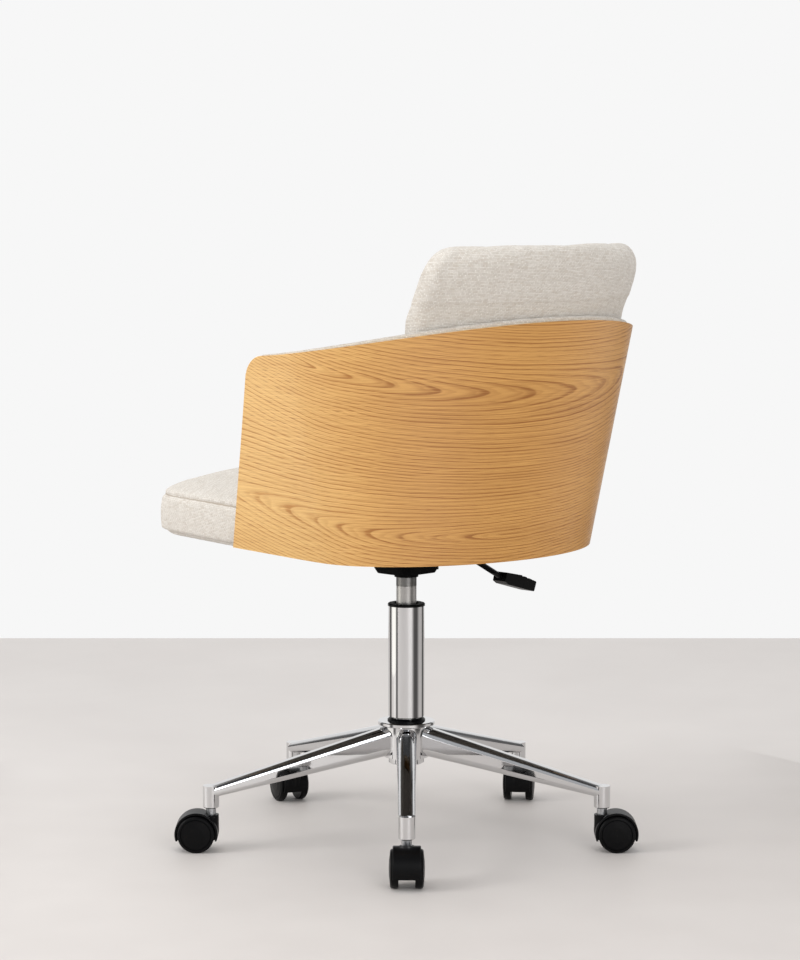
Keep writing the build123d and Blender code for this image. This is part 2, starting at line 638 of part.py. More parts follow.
# Shell: an elliptical cone with level arms, cut to its outline in side view
def shell_half_width(z):
    """Outer half width of the shell at a height."""
    share = (z - SHELL_LOW_Z) / (SHELL_HIGH_Z - SHELL_LOW_Z)
    return SHELL_LOW_HALF_W + (SHELL_HIGH_HALF_W - SHELL_LOW_HALF_W) * share


def tub_plan(z, inset, front_y):
    """Closed plan of the tub at a height: round back, straight arms and a straight front."""
    half_w = shell_half_width(z) - inset
    depth = shell_half_width(z) * SHELL_PLAN_RATIO - inset
    with BuildSketch(Plane.XY.offset(z)) as plan:
        with BuildLine():
            left_arc = EllipticalCenterArc((0, SHELL_ROUND_Y), half_w, depth, start_angle=0, arc_size=90)
            right_arc = EllipticalCenterArc((0, SHELL_ROUND_Y), half_w, depth, start_angle=90, arc_size=90)
            Polyline(right_arc @ 1, (-half_w, front_y), (half_w, front_y), left_arc @ 0)
        make_face()
    return plan.sketch


def tub_solid(inset, low_z, high_z, front_y):
    """Solid tub between two heights, drawn in from the outer face by an inset."""
    with BuildPart() as tub:
        add(tub_plan(low_z, inset, front_y))
        add(tub_plan(high_z, inset, front_y))
        loft(ruled=True)
    return tub.part


def side_outline(low_z, low_front_z, lift_back, lift_front, set_back):
    """Side view of the shell or its lining: lower edge, sloping front, rounded arm corner and dipping top."""
    lean = (SHELL_FRONT_HIGH_Y - SHELL_FRONT_LOW_Y) / (SHELL_MID_TOP_Z - SHELL_BOTTOM_Z)
    top_front_z = SHELL_ARM_TOP_Z + lift_front
    low_front_y = SHELL_FRONT_LOW_Y + set_back + lean * (low_front_z - SHELL_BOTTOM_Z)
    top_front_y = SHELL_FRONT_LOW_Y + set_back + lean * (top_front_z - SHELL_BOTTOM_Z)
    with BuildSketch(Plane.YZ.offset(-SHELL_CUT_Y)) as outline:
        with BuildLine():
            top_edge = ThreePointArc(
                (SHELL_BACK_Y, SHELL_BACK_TOP_Z + lift_back),
                (SHELL_MID_Y, SHELL_MID_TOP_Z + (lift_back + lift_front) / 2),
                (top_front_y, top_front_z),
            )
            Polyline(
                top_edge @ 1,
                (low_front_y, low_front_z),
                (SHELL_ROUND_Y, low_z),
                (SHELL_CUT_Y, low_z),
                (SHELL_CUT_Y, SHELL_BACK_TOP_Z + lift_back),
                top_edge @ 0,
            )
        make_face()
        fillet(outline.vertices().group_by(Axis.X)[1], radius=SHELL_ARM_CORNER_R - set_back)
        fillet(outline.vertices().group_by(Axis.X)[0], radius=SHELL_LOW_CORNER_R)
        if low_front_z != low_z:
            fillet(outline.vertices().filter_by(lambda v: abs(v.X - SHELL_ROUND_Y) < 0.01), radius=SHELL_SWEEP_R)
    return outline.sketch


shell_lean = (SHELL_HIGH_HALF_W - SHELL_LOW_HALF_W) / (SHELL_HIGH_Z - SHELL_LOW_Z)
shell_low_front_z = SHELL_BOTTOM_Z + SHELL_FRONT_RISE


def bracket_frames():
    """Each bracket's outward direction, wall foot on the shell's inner face and lean of the wall."""
    wall_x = shell_half_width(BOARD_Z) - SHELL_WALL
    wall_y = SHELL_ROUND_Y + shell_half_width(BOARD_Z) * SHELL_PLAN_RATIO - SHELL_WALL
    for y in BRACKET_ARM_YS:
        yield Vector(1, 0, 0), Vector(wall_x, y, 0), shell_lean
        yield Vector(-1, 0, 0), Vector(-wall_x, y, 0), shell_lean
    yield Vector(0, 1, 0), Vector(0, wall_y, 0), shell_lean * SHELL_PLAN_RATIO


def shell_screw_plane(outward, foot, lean):
    """Plane on the shell's inner face at a bracket's screw, with its z axis into the plywood."""
    height = BRACKET_UP * 0.55
    tilt = atan(lean)
    into = outward * cos(tilt) - Vector(0, 0, 1) * sin(tilt)
    return Plane(origin=foot + outward * lean * height + Vector(0, 0, BOARD_Z + height), z_dir=into)


def board_screw_points(outward, foot):
    """Level places of the two screws that hold a bracket to the board."""
    along = Vector(-outward.Y, outward.X, 0)
    return [foot - outward * BRACKET_IN * 0.72 + along * (BRACKET_W * 0.28 * side) for side in (-1, 1)]


with BuildPart() as shell:
    add(tub_solid(0, SHELL_LOW_Z, SHELL_HIGH_Z, 2 * SHELL_FRONT_LOW_Y))
    add(tub_solid(SHELL_WALL, SHELL_LOW_Z, SHELL_HIGH_Z, 3 * SHELL_FRONT_LOW_Y), mode=Mode.SUBTRACT)
    add(side_outline(SHELL_BOTTOM_Z, shell_low_front_z, 0, 0, 0))
    extrude(amount=2 * SHELL_CUT_Y, dir=(1, 0, 0), mode=Mode.INTERSECT)
    for outward, foot, lean in bracket_frames():
        with BuildSketch(shell_screw_plane(outward, foot, lean).offset(-1.0)):
            Circle(SCREW_R + PRESS_GAP)
        extrude(amount=SHELL_SCREW_L + 1.3, mode=Mode.SUBTRACT)
save(shell, "shell")

lining_inset = SHELL_WALL + SOFT_GAP
with BuildPart() as shell_lining:
    add(tub_solid(lining_inset, SHELL_LOW_Z, SHELL_HIGH_Z, 2 * SHELL_FRONT_LOW_Y))
    add(tub_solid(lining_inset + LINING_T, SHELL_LOW_Z, SHELL_HIGH_Z, 3 * SHELL_FRONT_LOW_Y), mode=Mode.SUBTRACT)
    add(side_outline(LINING_FOOT_Z, LINING_FOOT_Z, LINING_RIM_BACK, LINING_RIM_FRONT, LINING_SET_BACK))
    extrude(amount=2 * SHELL_CUT_Y, dir=(1, 0, 0), mode=Mode.INTERSECT)
save(shell_lining, "shell_lining")


# Seat: plywood board let into the underside of a boxed foam cushion with a seam round its crown
def seat_plan(z, inset):
    """Plan of the seat at a height: round rear, straight sides that draw in, rounded front corners."""
    half_w = SEAT_HALF_W - inset
    front_half_w = SEAT_FRONT_HALF_W - 0.8 * inset
    shrink = 1.0 - inset / SEAT_HALF_W
    with BuildSketch(Plane.XY.offset(z)) as plan:
        with BuildLine():
            left_arc = EllipticalCenterArc(
                (0, SHELL_ROUND_Y), half_w, SEAT_REAR_DEPTH - inset, start_angle=0, arc_size=90
            )
            right_arc = EllipticalCenterArc(
                (0, SHELL_ROUND_Y), half_w, SEAT_REAR_DEPTH - inset, start_angle=90, arc_size=90
            )
            Polyline(
                right_arc @ 1,
                (-half_w, SEAT_TAPER_Y),
                (-front_half_w, SEAT_FRONT_Y + inset),
                (front_half_w, SEAT_FRONT_Y + inset),
                (half_w, SEAT_TAPER_Y),
                left_arc @ 0,
            )
        make_face()
        front = plan.vertices().group_by(Axis.Y)[0]
        fillet(front, radius=SEAT_CORNER_R * shrink)
        taper = plan.vertices().filter_by(lambda v: abs(v.Y - SEAT_TAPER_Y) < 0.01)
        fillet(taper, radius=SEAT_SHOULDER_R * shrink)
    return plan.sketch


with BuildPart() as seat_board:
    add(seat_plan(BOARD_Z, BOARD_INSET))
    extrude(amount=BOARD_T, dir=(0, 0, 1))
    with BuildSketch(Plane.XY.offset(BOARD_Z)):
        with GridLocations(2 * BOLT_X, 2 * BOLT_Y, 2, 2):
            Circle(TNUT_R + PRESS_GAP)
    extrude(amount=BOARD_T, mode=Mode.SUBTRACT)
    with BuildSketch(Plane.XY.offset(BOLT_TIP_Z)):
        with GridLocations(2 * BOLT_X, 2 * BOLT_Y, 2, 2):
            Circle(TNUT_FLANGE_R + PRESS_GAP)
    extrude(amount=TNUT_FLANGE_T, mode=Mode.SUBTRACT)
    for outward, foot, lean in bracket_frames():
        for point in board_screw_points(outward, foot):
            with BuildSketch(Plane(origin=point + Vector(0, 0, BOARD_Z))):
                Circle(SCREW_R + PRESS_GAP)
            extrude(amount=BOARD_SCREW_L, mode=Mode.SUBTRACT)
save(seat_board, "seat_board")

crown_z = SEAT_SEAM_Z + SEAT_CROWN
SEAT_SECTIONS = (  # height and inset of each section of the cushion, from its foot to its crown
    (BOARD_Z, SEAT_EDGE_R * 0.6),
    (BOARD_Z + SEAT_EDGE_R * 0.35, SEAT_EDGE_R * 0.15),
    (BOARD_Z + SEAT_EDGE_R, 0.0),
    (SEAT_SEAM_Z - 2 * SEAM_DEPTH, SEAM_DEPTH * 0.3),
    (SEAT_SEAM_Z, SEAM_DEPTH),
    (SEAT_SEAM_Z + SEAM_DEPTH, SEAM_DEPTH * 0.7),
    (SEAT_SEAM_Z + SEAT_CROWN * 0.45, 14.0),
    (SEAT_SEAM_Z + SEAT_CROWN * 0.75, 38.0),
    (SEAT_SEAM_Z + SEAT_CROWN * 0.93, 75.0),
    (crown_z, 120.0),
)
SKIRT_SECTIONS = (  # the same for the skirt
    (BOARD_Z - SEAT_SKIRT, SEAT_EDGE_R * 0.6),
    (BOARD_Z - SEAT_SKIRT + SEAT_EDGE_R * 0.35, SEAT_EDGE_R * 0.15),
    (BOARD_Z - SEAT_SKIRT + SEAT_EDGE_R, 0.0),
    (BOARD_Z + SEAT_EDGE_R, 0.0),
)
with BuildPart() as skirt:
    for z, inset in SKIRT_SECTIONS:
        add(seat_plan(z, inset))
    loft(ruled=True)
    with BuildSketch(Plane.YZ.offset(-2 * SEAT_HALF_W)):
        with BuildLine():
            Polyline(
                (2 * SEAT_FRONT_Y, BOARD_Z + 2 * SEAT_EDGE_R),
                (2 * SEAT_FRONT_Y, BOARD_Z - 2 * SEAT_SKIRT),
                (SEAT_SKIRT_Y - SEAT_SKIRT_SLOPE, BOARD_Z - 2 * SEAT_SKIRT),
                (SEAT_SKIRT_Y, BOARD_Z),
                (SEAT_SKIRT_Y, BOARD_Z + 2 * SEAT_EDGE_R),
                close=True,
            )
        make_face()
    extrude(amount=4 * SEAT_HALF_W, dir=(1, 0, 0), mode=Mode.INTERSECT)
with BuildPart() as seat_cushion:
    for z, inset in SEAT_SECTIONS:
        add(seat_plan(z, inset))
    loft(ruled=True)
    add(skirt.part)
    add(seat_plan(BOARD_Z - SEAT_SKIRT, BOARD_INSET - SOFT_GAP))
    extrude(amount=SEAT_SKIRT + BOARD_T + SOFT_GAP, dir=(0, 0, 1), mode=Mode.SUBTRACT)
save(seat_cushion, "seat_cushion")

# Brackets that tie the shell to the board, with their screws
with BuildPart() as shell_brackets:
    for outward, foot, lean in bracket_frames():
        along = Vector(-outward.Y, outward.X, 0)
        profile_plane = Plane(origin=foot - along * BRACKET_W / 2, x_dir=outward, z_dir=along * -1)

        def wall(rise):
            """Distance of the wall from its foot at a height above the board's underside."""
            return lean * rise - BRACKET_GAP

        with BuildSketch(profile_plane):
            with BuildLine():
                Polyline(
                    (-BRACKET_IN, BOARD_Z - BRACKET_T),
                    (wall(-BRACKET_T), BOARD_Z - BRACKET_T),
                    (wall(BRACKET_UP), BOARD_Z + BRACKET_UP),
                    (wall(BRACKET_UP) - BRACKET_T, BOARD_Z + BRACKET_UP),
                    (wall(0) - BRACKET_T, BOARD_Z),
                    (-BRACKET_IN, BOARD_Z),
                    close=True,
                )
            make_face()
        extrude(amount=-BRACKET_W)
        for point in board_screw_points(outward, foot):
            with BuildSketch(Plane(origin=point + Vector(0, 0, BOARD_Z - BRACKET_T))):
                Circle(SCREW_R + PRESS_GAP)
            extrude(amount=BRACKET_T, mode=Mode.SUBTRACT)
        with BuildSketch(shell_screw_plane(outward, foot, lean)):
            Circle(SCREW_R + PRESS_GAP)
        extrude(amount=2 * BRACKET_T, both=True, mode=Mode.SUBTRACT)
save(shell_brackets, "shell_brackets")

with BuildPart() as board_screws:
    for outward, foot, lean in bracket_frames():
        for point in board_screw_points(outward, foot):
            head_plane = Plane(origin=point + Vector(0, 0, BOARD_Z - BRACKET_T))
            with BuildSketch(head_plane):
                Circle(SCREW_R)
            extrude(amount=BOARD_SCREW_L)
            with BuildSketch(head_plane.offset(-SCREW_HEAD_H)):
                Circle(SCREW_HEAD_R)
            extrude(amount=SCREW_HEAD_H)
save(board_screws, "board_screws")

with BuildPart() as shell_screws:
    for outward, foot, lean in bracket_frames():
        leg_face = (BRACKET_T + BRACKET_GAP) * cos(atan(lean))
        wall_plane = shell_screw_plane(outward, foot, lean)
        with BuildSketch(wall_plane.offset(-leg_face)):
            Circle(SCREW_R)
        extrude(amount=leg_face + SHELL_SCREW_L)
        with BuildSketch(wall_plane.offset(-leg_face - SCREW_HEAD_H)):
            Circle(SCREW_HEAD_R)
        extrude(amount=SCREW_HEAD_H)
save(shell_screws, "shell_screws")


# Back cushion: soft pad that follows the round back and leans with it
def back_plan(z, inset_x, inset_y):
    """Plan of the back cushion at a height: bowed rear, shallower bowed front, rounded ends."""
    above = max(0.0, z - SHELL_BACK_TOP_Z)
    below = min(0.0, z - SHELL_BACK_TOP_Z)
    half_w = BACK_HALF_W + below * BACK_SPREAD + above * BACK_TOP_SPREAD - inset_x
    wall_y = SHELL_ROUND_Y + shell_half_width(z) * SHELL_PLAN_RATIO - lining_inset - LINING_T
    rear_y = wall_y - BACK_GAP + above * BACK_TOP_LEAN
    rear = rear_y - inset_y
    front = rear_y - BACK_T + inset_y
    slimming = 1.0 - 2 * inset_y / BACK_T
    bulge_x = half_w + BACK_END_BULGE * slimming
    end_y = rear_y - BACK_REAR_SAG - BACK_END_T / 2
    rear_end = end_y + BACK_END_T / 2 * slimming
    front_end = end_y - BACK_END_T / 2 * slimming
    with BuildSketch(Plane.XY.offset(z)) as plan:
        with BuildLine():
            ThreePointArc((half_w, rear_end), (0, rear), (-half_w, rear_end))
            ThreePointArc((-half_w, rear_end), (-bulge_x, end_y), (-half_w, front_end))
            ThreePointArc((-half_w, front_end), (0, front), (half_w, front_end))
            ThreePointArc((half_w, front_end), (bulge_x, end_y), (half_w, rear_end))
        make_face()
    return plan.sketch


BACK_SECTIONS = (  # height, inset along the width and inset through the thickness
    (BACK_BOTTOM_Z, BACK_CORNER_R * 0.6, 17.0),
    (BACK_BOTTOM_Z + BACK_CORNER_R * 0.35, BACK_CORNER_R * 0.2, 6.0),
    (BACK_BOTTOM_Z + BACK_CORNER_R, 0.0, 1.0),
    (SHELL_BACK_TOP_Z, 0.0, 0.0),
    (BACK_TOP_Z - BACK_CORNER_R, 0.0, 0.0),
    (BACK_TOP_Z - BACK_CORNER_R * 0.5, BACK_CORNER_R * 0.14, 1.0),
    (BACK_TOP_Z - BACK_CORNER_R * 0.2, BACK_CORNER_R * 0.40, 5.0),
    (BACK_TOP_Z - BACK_CORNER_R * 0.05, BACK_CORNER_R * 0.68, 10.0),
    (BACK_TOP_Z, BACK_CORNER_R * 0.95, 16.0),
)
with BuildPart() as back_cushion:
    for z, inset_x, inset_y in BACK_SECTIONS:
        add(back_plan(z, inset_x, inset_y))
    loft(ruled=True)
save(back_cushion, "back_cushion")

# Castors: stem pressed into the leg, hooded housing that swivels on it, axle and two wheels
wheel_inner = WHEEL_GAP / 2
wheel_outer = wheel_inner + WHEEL_W
for index, (leg_angle, trail_angle) in enumerate(zip(LEG_ANGLES, TRAIL_ANGLES), start=1):
    stem_at = direction(leg_angle) * STEM_CIRCLE_R
    trail = direction(trail_angle)
    axle_dir = direction(trail_angle + 90)
    centre = stem_at + trail * TRAIL + Vector(0, 0, AXLE_Z)
    side_plane = Plane(origin=centre, x_dir=trail, z_dir=axle_dir * -1)
    turn_plane = Plane(origin=centre, x_dir=trail, z_dir=(0, 0, 1))
    stem_plane = Plane(origin=stem_at, x_dir=trail, z_dir=axle_dir * -1)

    with BuildPart() as castor_stem:
        with BuildSketch(stem_plane):
            with BuildLine():
                Polyline(
                    (0, STEM_NECK_FOOT_Z - STEM_TAIL),
                    (STEM_TAIL_R, STEM_NECK_FOOT_Z - STEM_TAIL),
                    (STEM_TAIL_R, STEM_NECK_FOOT_Z),
                    (STEM_NECK_R, STEM_NECK_FOOT_Z),
                    (STEM_NECK_R, STUB_FOOT_Z),
                    (STEM_PIN_R, STUB_FOOT_Z),
                    (STEM_PIN_R, GRIP_RING_Z),
                    (GRIP_RING_R, GRIP_RING_Z),
                    (GRIP_RING_R, GRIP_RING_Z + GRIP_RING_H),
                    (STEM_PIN_R, GRIP_RING_Z + GRIP_RING_H),
                    (STEM_PIN_R, STEM_PIN_TOP_Z),
                    (0, STEM_PIN_TOP_Z),
                    close=True,
                )
            make_face()
        revolve(axis=Axis(tuple(stem_at), (0, 0, 1)))
    save(castor_stem, f"castor_{index}_stem")

    with BuildPart() as castor_housing:
        with BuildSketch(side_plane):
            Circle(HOOD_R)
        extrude(amount=HOOD_W / 2, both=True)
        fillet(castor_housing.edges().filter_by(GeomType.CIRCLE), radius=HOOD_EDGE_R)
        with BuildSketch(Plane(origin=stem_at).offset(AXLE_Z)):
            Circle(STEM_BOSS_R)
        extrude(amount=STEM_NECK_FOOT_Z - FACE_GAP - AXLE_Z)
        for side in (-1, 1):
            with BuildSketch(side_plane.offset(side * (wheel_inner - WHEEL_SIDE_GAP))):
                Circle(HOOD_R - HOOD_WALL)
            extrude(amount=side * HOOD_W, mode=Mode.SUBTRACT)
        with BuildSketch(side_plane):
            with Locations((0, HOOD_LOW_Z - AXLE_Z - HOOD_R)):
                Rectangle(4 * HOOD_R, 2 * HOOD_R)
        extrude(amount=HOOD_W, both=True, mode=Mode.SUBTRACT)
        with BuildSketch(Plane(origin=stem_at).offset(STEM_NECK_FOOT_Z - FACE_GAP)):
            Circle(STEM_NECK_R + 2 * FACE_GAP)
        extrude(amount=STEM_TAIL, mode=Mode.SUBTRACT)
        with BuildSketch(Plane(origin=stem_at).offset(STEM_NECK_FOOT_Z - STEM_TAIL - FACE_GAP)):
            Circle(STEM_TAIL_R + RUN_FIT)
        extrude(amount=2 * STEM_TAIL, mode=Mode.SUBTRACT)
        with BuildSketch(side_plane):
            Circle(AXLE_R + PRESS_GAP)
        extrude(amount=HOOD_W, both=True, mode=Mode.SUBTRACT)
    save(castor_housing, f"castor_{index}_housing")

    axle_half = wheel_outer - WHEEL_FACE_T - FACE_GAP
    with BuildPart() as castor_axle:
        with BuildSketch(side_plane):
            Circle(AXLE_R)
        extrude(amount=axle_half, both=True)
    save(castor_axle, f"castor_{index}_axle")

    for side, name in ((1, "left"), (-1, "right")):
        with BuildPart() as castor_wheel:
            with BuildSketch(turn_plane):
                with BuildLine():
                    Polyline(
                        (AXLE_R + RUN_FIT, side * wheel_inner),
                        (WHEEL_R - 1.0, side * wheel_inner),
                        (WHEEL_R, side * (wheel_inner + 1.0)),
                        (WHEEL_R, side * (wheel_outer - 2.0)),
                        (WHEEL_R - 1.5, side * (wheel_outer - 0.4)),
                        (WHEEL_R - 4.0, side * wheel_outer),
                        (WHEEL_R - 4.6, side * (wheel_outer - 0.7)),
                        (WHEEL_R - 5.2, side * wheel_outer),
                        (WHEEL_R * 0.4, side * (wheel_outer + WHEEL_DOME * 0.8)),
                        (0, side * (wheel_outer + WHEEL_DOME)),
                        (0, side * (wheel_outer - WHEEL_FACE_T)),
                        (AXLE_R + RUN_FIT, side * (wheel_outer - WHEEL_FACE_T)),
                        close=True,
                    )
                make_face()
            revolve(axis=Axis(tuple(centre), tuple(axle_dir)))
        save(castor_wheel, f"castor_{index}_wheel_{name}")
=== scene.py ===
import json
from math import atan2, cos, exp, hypot, pi, radians, sin, sqrt

import bmesh
import bpy
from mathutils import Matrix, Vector


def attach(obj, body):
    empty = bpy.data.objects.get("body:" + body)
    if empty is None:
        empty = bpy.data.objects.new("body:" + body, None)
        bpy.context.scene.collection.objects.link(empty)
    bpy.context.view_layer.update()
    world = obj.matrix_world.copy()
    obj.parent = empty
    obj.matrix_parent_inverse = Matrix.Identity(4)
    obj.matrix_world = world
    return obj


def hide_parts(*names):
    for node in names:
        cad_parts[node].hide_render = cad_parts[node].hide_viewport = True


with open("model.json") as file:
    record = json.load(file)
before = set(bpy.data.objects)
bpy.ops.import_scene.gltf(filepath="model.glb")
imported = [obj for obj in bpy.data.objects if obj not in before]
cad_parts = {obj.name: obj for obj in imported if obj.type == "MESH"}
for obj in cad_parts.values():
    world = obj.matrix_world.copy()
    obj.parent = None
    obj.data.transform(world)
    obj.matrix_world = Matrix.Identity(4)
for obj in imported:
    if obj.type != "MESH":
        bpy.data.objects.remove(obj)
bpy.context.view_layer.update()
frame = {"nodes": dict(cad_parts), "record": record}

# Sizes of the shell, in metres: an elliptical cone behind ROUND_Y and straight arms before it
SHELL_LOW_Z = 0.400
SHELL_HIGH_Z = 0.740
SHELL_LOW_HALF_W = 0.2310
SHELL_HIGH_HALF_W = 0.3084
SHELL_LEAN = (SHELL_HIGH_HALF_W - SHELL_LOW_HALF_W) / (SHELL_HIGH_Z - SHELL_LOW_Z)
SHELL_RATIO = 0.70
SHELL_WALL = 0.009
SHELL_FOOT_Z = 0.4084
SHELL_FRONT_FOOT_Z = 0.4152
SHELL_CORNER = 0.0255
SHELL_EASE = 0.0006
ROUND_Y = 0.073
ROUND_DEPTH = 0.19
ROUND_LENGTH = 0.363
FOOT_BLEND = 0.05
ARM_FOOT_Y = -0.098
ARM_LEAN = 0.100 / 0.2826
RIM_BACK = (0.280, 0.727)
RIM_MIDDLE = (0.130, 0.691)
RIM_FRONT = (-0.003, 0.677)

# Sizes of the lining
LINING_FOOT_Z = 0.441
LINING_INSET = 0.0093
LINING_T = 0.005
LINING_CORNER = 0.024
LINING_SET_BACK = 0.002
LINING_LIFT_BACK = 0.006
LINING_LIFT_FRONT = 0.001

# Sizes of the seat cushion
SEAT_HALF_W = 0.219
SEAT_REAR_DEPTH = 0.148
SEAT_MIDDLE_Y = -0.0625
SEAT_FRONT_Y = -0.346
SEAT_FRONT_HALF_W = 0.165
SEAT_TAPER_Y = -0.085
SEAT_FOOT_Z = 0.4242
SEAT_SEAM_Z = 0.466
SEAT_SEAM_INSET = 0.003
SEAT_CROWN = 0.029
SEAT_CROWN_REACH = 0.120
SEAT_GAIN = 0.006
SEAM_R = 0.0013
SKIRT_DROP = 0.0140
SKIRT_Y = -0.112

# Sizes of the back cushion
BACK_FOOT_Z = 0.503
BACK_TOP_Z = 0.820
BACK_HALF_W = 0.189
BACK_T = 0.068
BACK_BOW = 0.051
BACK_END_R = 0.018
BACK_END_REACH = 0.016
BACK_CORNER = 0.042
BACK_STRAIGHT_LOW_Z = 0.56
BACK_STRAIGHT_HIGH_Z = 0.77
BACK_GAIN = 0.0012


# Node formulas
class Wire:
    """A node output that takes arithmetic, so that a pattern reads as a formula."""

    def __init__(self, tree, socket=None):
        self.tree = tree
        self.socket = socket

    def node(self, kind, inputs, out=0, **settings):
        """Adds a node with these settings and inputs and gives one of its outputs."""
        made = self.tree.nodes.new(kind)
        for name, value in settings.items():
            setattr(made, name, value)
        for key, value in inputs.items():
            if isinstance(value, Wire):
                self.tree.links.new(value.socket, made.inputs[key])
            else:
                made.inputs[key].default_value = value
        return Wire(self.tree, made.outputs[out])

    def math(self, operation, *values):
        """A maths node on this output and others."""
        return self.node("ShaderNodeMath", dict(enumerate((self,) + values)), operation=operation)

    def __add__(self, other):
        return self.math("ADD", other)

    def __radd__(self, other):
        return self.math("ADD", other)

    def __sub__(self, other):
        return self.math("SUBTRACT", other)

    def __rsub__(self, other):
        return self.node("ShaderNodeMath", {0: other, 1: self}, operation="SUBTRACT")

    def __mul__(self, other):
        return self.math("MULTIPLY", other)

    def __rmul__(self, other):
        return self.math("MULTIPLY", other)

    def __truediv__(self, other):
        return self.math("DIVIDE", other)

    def __rtruediv__(self, other):
        return self.node("ShaderNodeMath", {0: other, 1: self}, operation="DIVIDE")

    def step(self, low, high):
        """Smooth step from 0 at low to 1 at high."""
        inputs = {"Value": self, "From Min": low, "From Max": high}
        return self.node("ShaderNodeMapRange", inputs, interpolation_type="SMOOTHSTEP")

    def mixed(self, low, high):
        """Colour between two colours, with this output as the share of the second."""
        inputs = {"Factor": self, "A": low, "B": high}
        return self.node("ShaderNodeMix", inputs, 2, data_type="RGBA")

    def noise(self, x, y, z, scale=1.0, detail=2.0):
        """Noise at a place given by three numbers."""
        place = self.node("ShaderNodeCombineXYZ", {0: x, 1: y, 2: z})
        inputs = {"Vector": place, "Scale": scale, "Detail": detail}
        return self.node("ShaderNodeTexNoise", inputs)

    def random(self, x, y):
        """One random number for each whole-number cell."""
        place = self.node("ShaderNodeCombineXYZ", {0: x, 1: y, 2: 0.0})
        return self.node("ShaderNodeTexWhiteNoise", {"Vector": place}, noise_dimensions="2D")

    def bump(self, strength, distance):
        """Normal bent by this output as a height."""
        inputs = {"Strength": strength, "Distance": distance, "Height": self}
        return self.node("ShaderNodeBump", inputs)


def srgb(red, green, blue):
    """Linear colour of an 8 bit screen colour."""
    values = [v / 255 for v in (red, green, blue)]
    return [v / 12.92 if v <= 0.04045 else ((v + 0.055) / 1.055) ** 2.4 for v in values] + [1.0]


def material(name, **constants):
    """New material with a Principled shader, and a wire to build its pattern from."""
    made = bpy.data.materials.new(name)
    made.use_nodes = True
    shader = made.node_tree.nodes["Principled BSDF"]
    for key, value in constants.items():
        shader.inputs[key.replace("_", " ").title().replace("Ior", "IOR")].default_value = value
    return made, Wire(made.node_tree), shader


def connect(shader, **wires):
    """Feeds patterns into a shader's inputs."""
    for key, wire in wires.items():
        wire.tree.links.new(wire.socket, shader.inputs[key.replace("_", " ").title()])


def uv_pair(wire, name):
    """The two coordinates of a UV map."""
    uv = wire.node("ShaderNodeUVMap", {}, uv_map=name)
    return [wire.node("ShaderNodeSeparateXYZ", {0: uv}, i) for i in (0, 1)]


def place(wire):
    """The three Object coordinates."""
    spot = wire.node("ShaderNodeTexCoord", {}, 3)
    return [wire.node("ShaderNodeSeparateXYZ", {0: spot}, i) for i in (0, 1, 2)]


# Veneer: growth rings cut by the sheet, as two nested arched figures with straight lines between, lightened
# towards one arm by a painted sheen
def veneer_material():
    lacquer = {"coat_weight": 0.2, "coat_roughness": 0.3, "specular_ior_level": 0.5}
    made, w, shader = material("oak_veneer", **lacquer)
    along, height = uv_pair(w, "grain")
    sway = w.noise(along * 2.2, height * 6.0, 1.7, detail=3.0) - 0.5
    ripple = w.noise(along * 9.0, height * 40.0, 4.1, detail=3.0) - 0.5
    level = height + sway * 0.020 + ripple * 0.0050
    upper = level - 0.629 - (along + 0.03).math("POWER", 2.0) * 0.45
    lower = level - 0.446 - (along + 0.10).math("POWER", 2.0) * 0.32
    upper_depth = ((along + 0.37) * 0.074).math("MAXIMUM", 0.001)
    lower_depth = ((-0.05 - along) * 0.078).math("MAXIMUM", 0.001)
    upper_ring = (upper * upper + upper_depth * upper_depth).math("SQRT")
    lower_ring = (lower * lower + lower_depth * lower_depth).math("SQRT")
    share = (level - 0.5375 - (along + 0.07).math("POWER", 2.0) * 0.38).step(-0.07, 0.07)
    ring = upper_ring * share + (0.184 - lower_ring) * (1.0 - share)
    spread = w.noise(ring * 22.0, along * 0.6, 9.3, detail=1.0)
    rank = ring * 225.0 + spread * 4.0
    phase = rank.math("FRACT")
    year = w.random(rank.math("FLOOR"), 3.0)
    soft_line = phase.step(0.30, 0.90) * (1.0 - phase.step(0.90, 1.0))
    crisp_line = phase.step(0.66, 0.86) * (1.0 - phase.step(0.90, 0.98))
    strength = 0.35 + 0.65 * year
    fine = (ring * 470.0 + w.noise(along * 3.0, height * 90.0, 2.0) * 2.0).math("FRACT")
    fine_line = fine.step(0.3, 0.8) * (1.0 - fine.step(0.85, 1.0))
    fibre = w.noise(along * 9.0, height * 640.0, 5.0, detail=4.0)
    line = (soft_line * 0.45 + crisp_line * 0.75) * fibre.step(0.20, 0.55)
    pore = w.noise(along * 50.0, height * 1300.0, 8.0, detail=1.0).step(0.55, 0.70)
    broad = w.noise(along * 1.3, height * 11.0, 6.0, detail=2.0)
    dark = line * strength * 0.85 + fine_line * 0.22 + (fibre - 0.5) * 1.0 + (broad - 0.5) * 0.5 + 0.12
    # Painted sheen: early and late wood both turn lighter and yellower towards one arm, where along goes from
    # -0.12 to -0.46, for the glancing light on that arm
    painted_sheen = along.step(-0.12, -0.46)
    early_wood_and_sheen = painted_sheen.mixed(srgb(212, 158, 87), srgb(232, 190, 120))
    late_wood_and_sheen = painted_sheen.mixed(srgb(154, 97, 39), srgb(186, 130, 62))
    body = dark.mixed(early_wood_and_sheen, late_wood_and_sheen)
    ink = pore * (line * 0.52 + 0.20)
    colour = ink.mixed(body, srgb(146, 92, 40))
    connect(shader, base_color=colour, roughness=0.37 + 0.10 * fibre + 0.06 * line)
    connect(shader, normal=(fibre * 0.4 - pore * 0.6 - line * 0.3).bump(0.10, 0.0004))
    return made


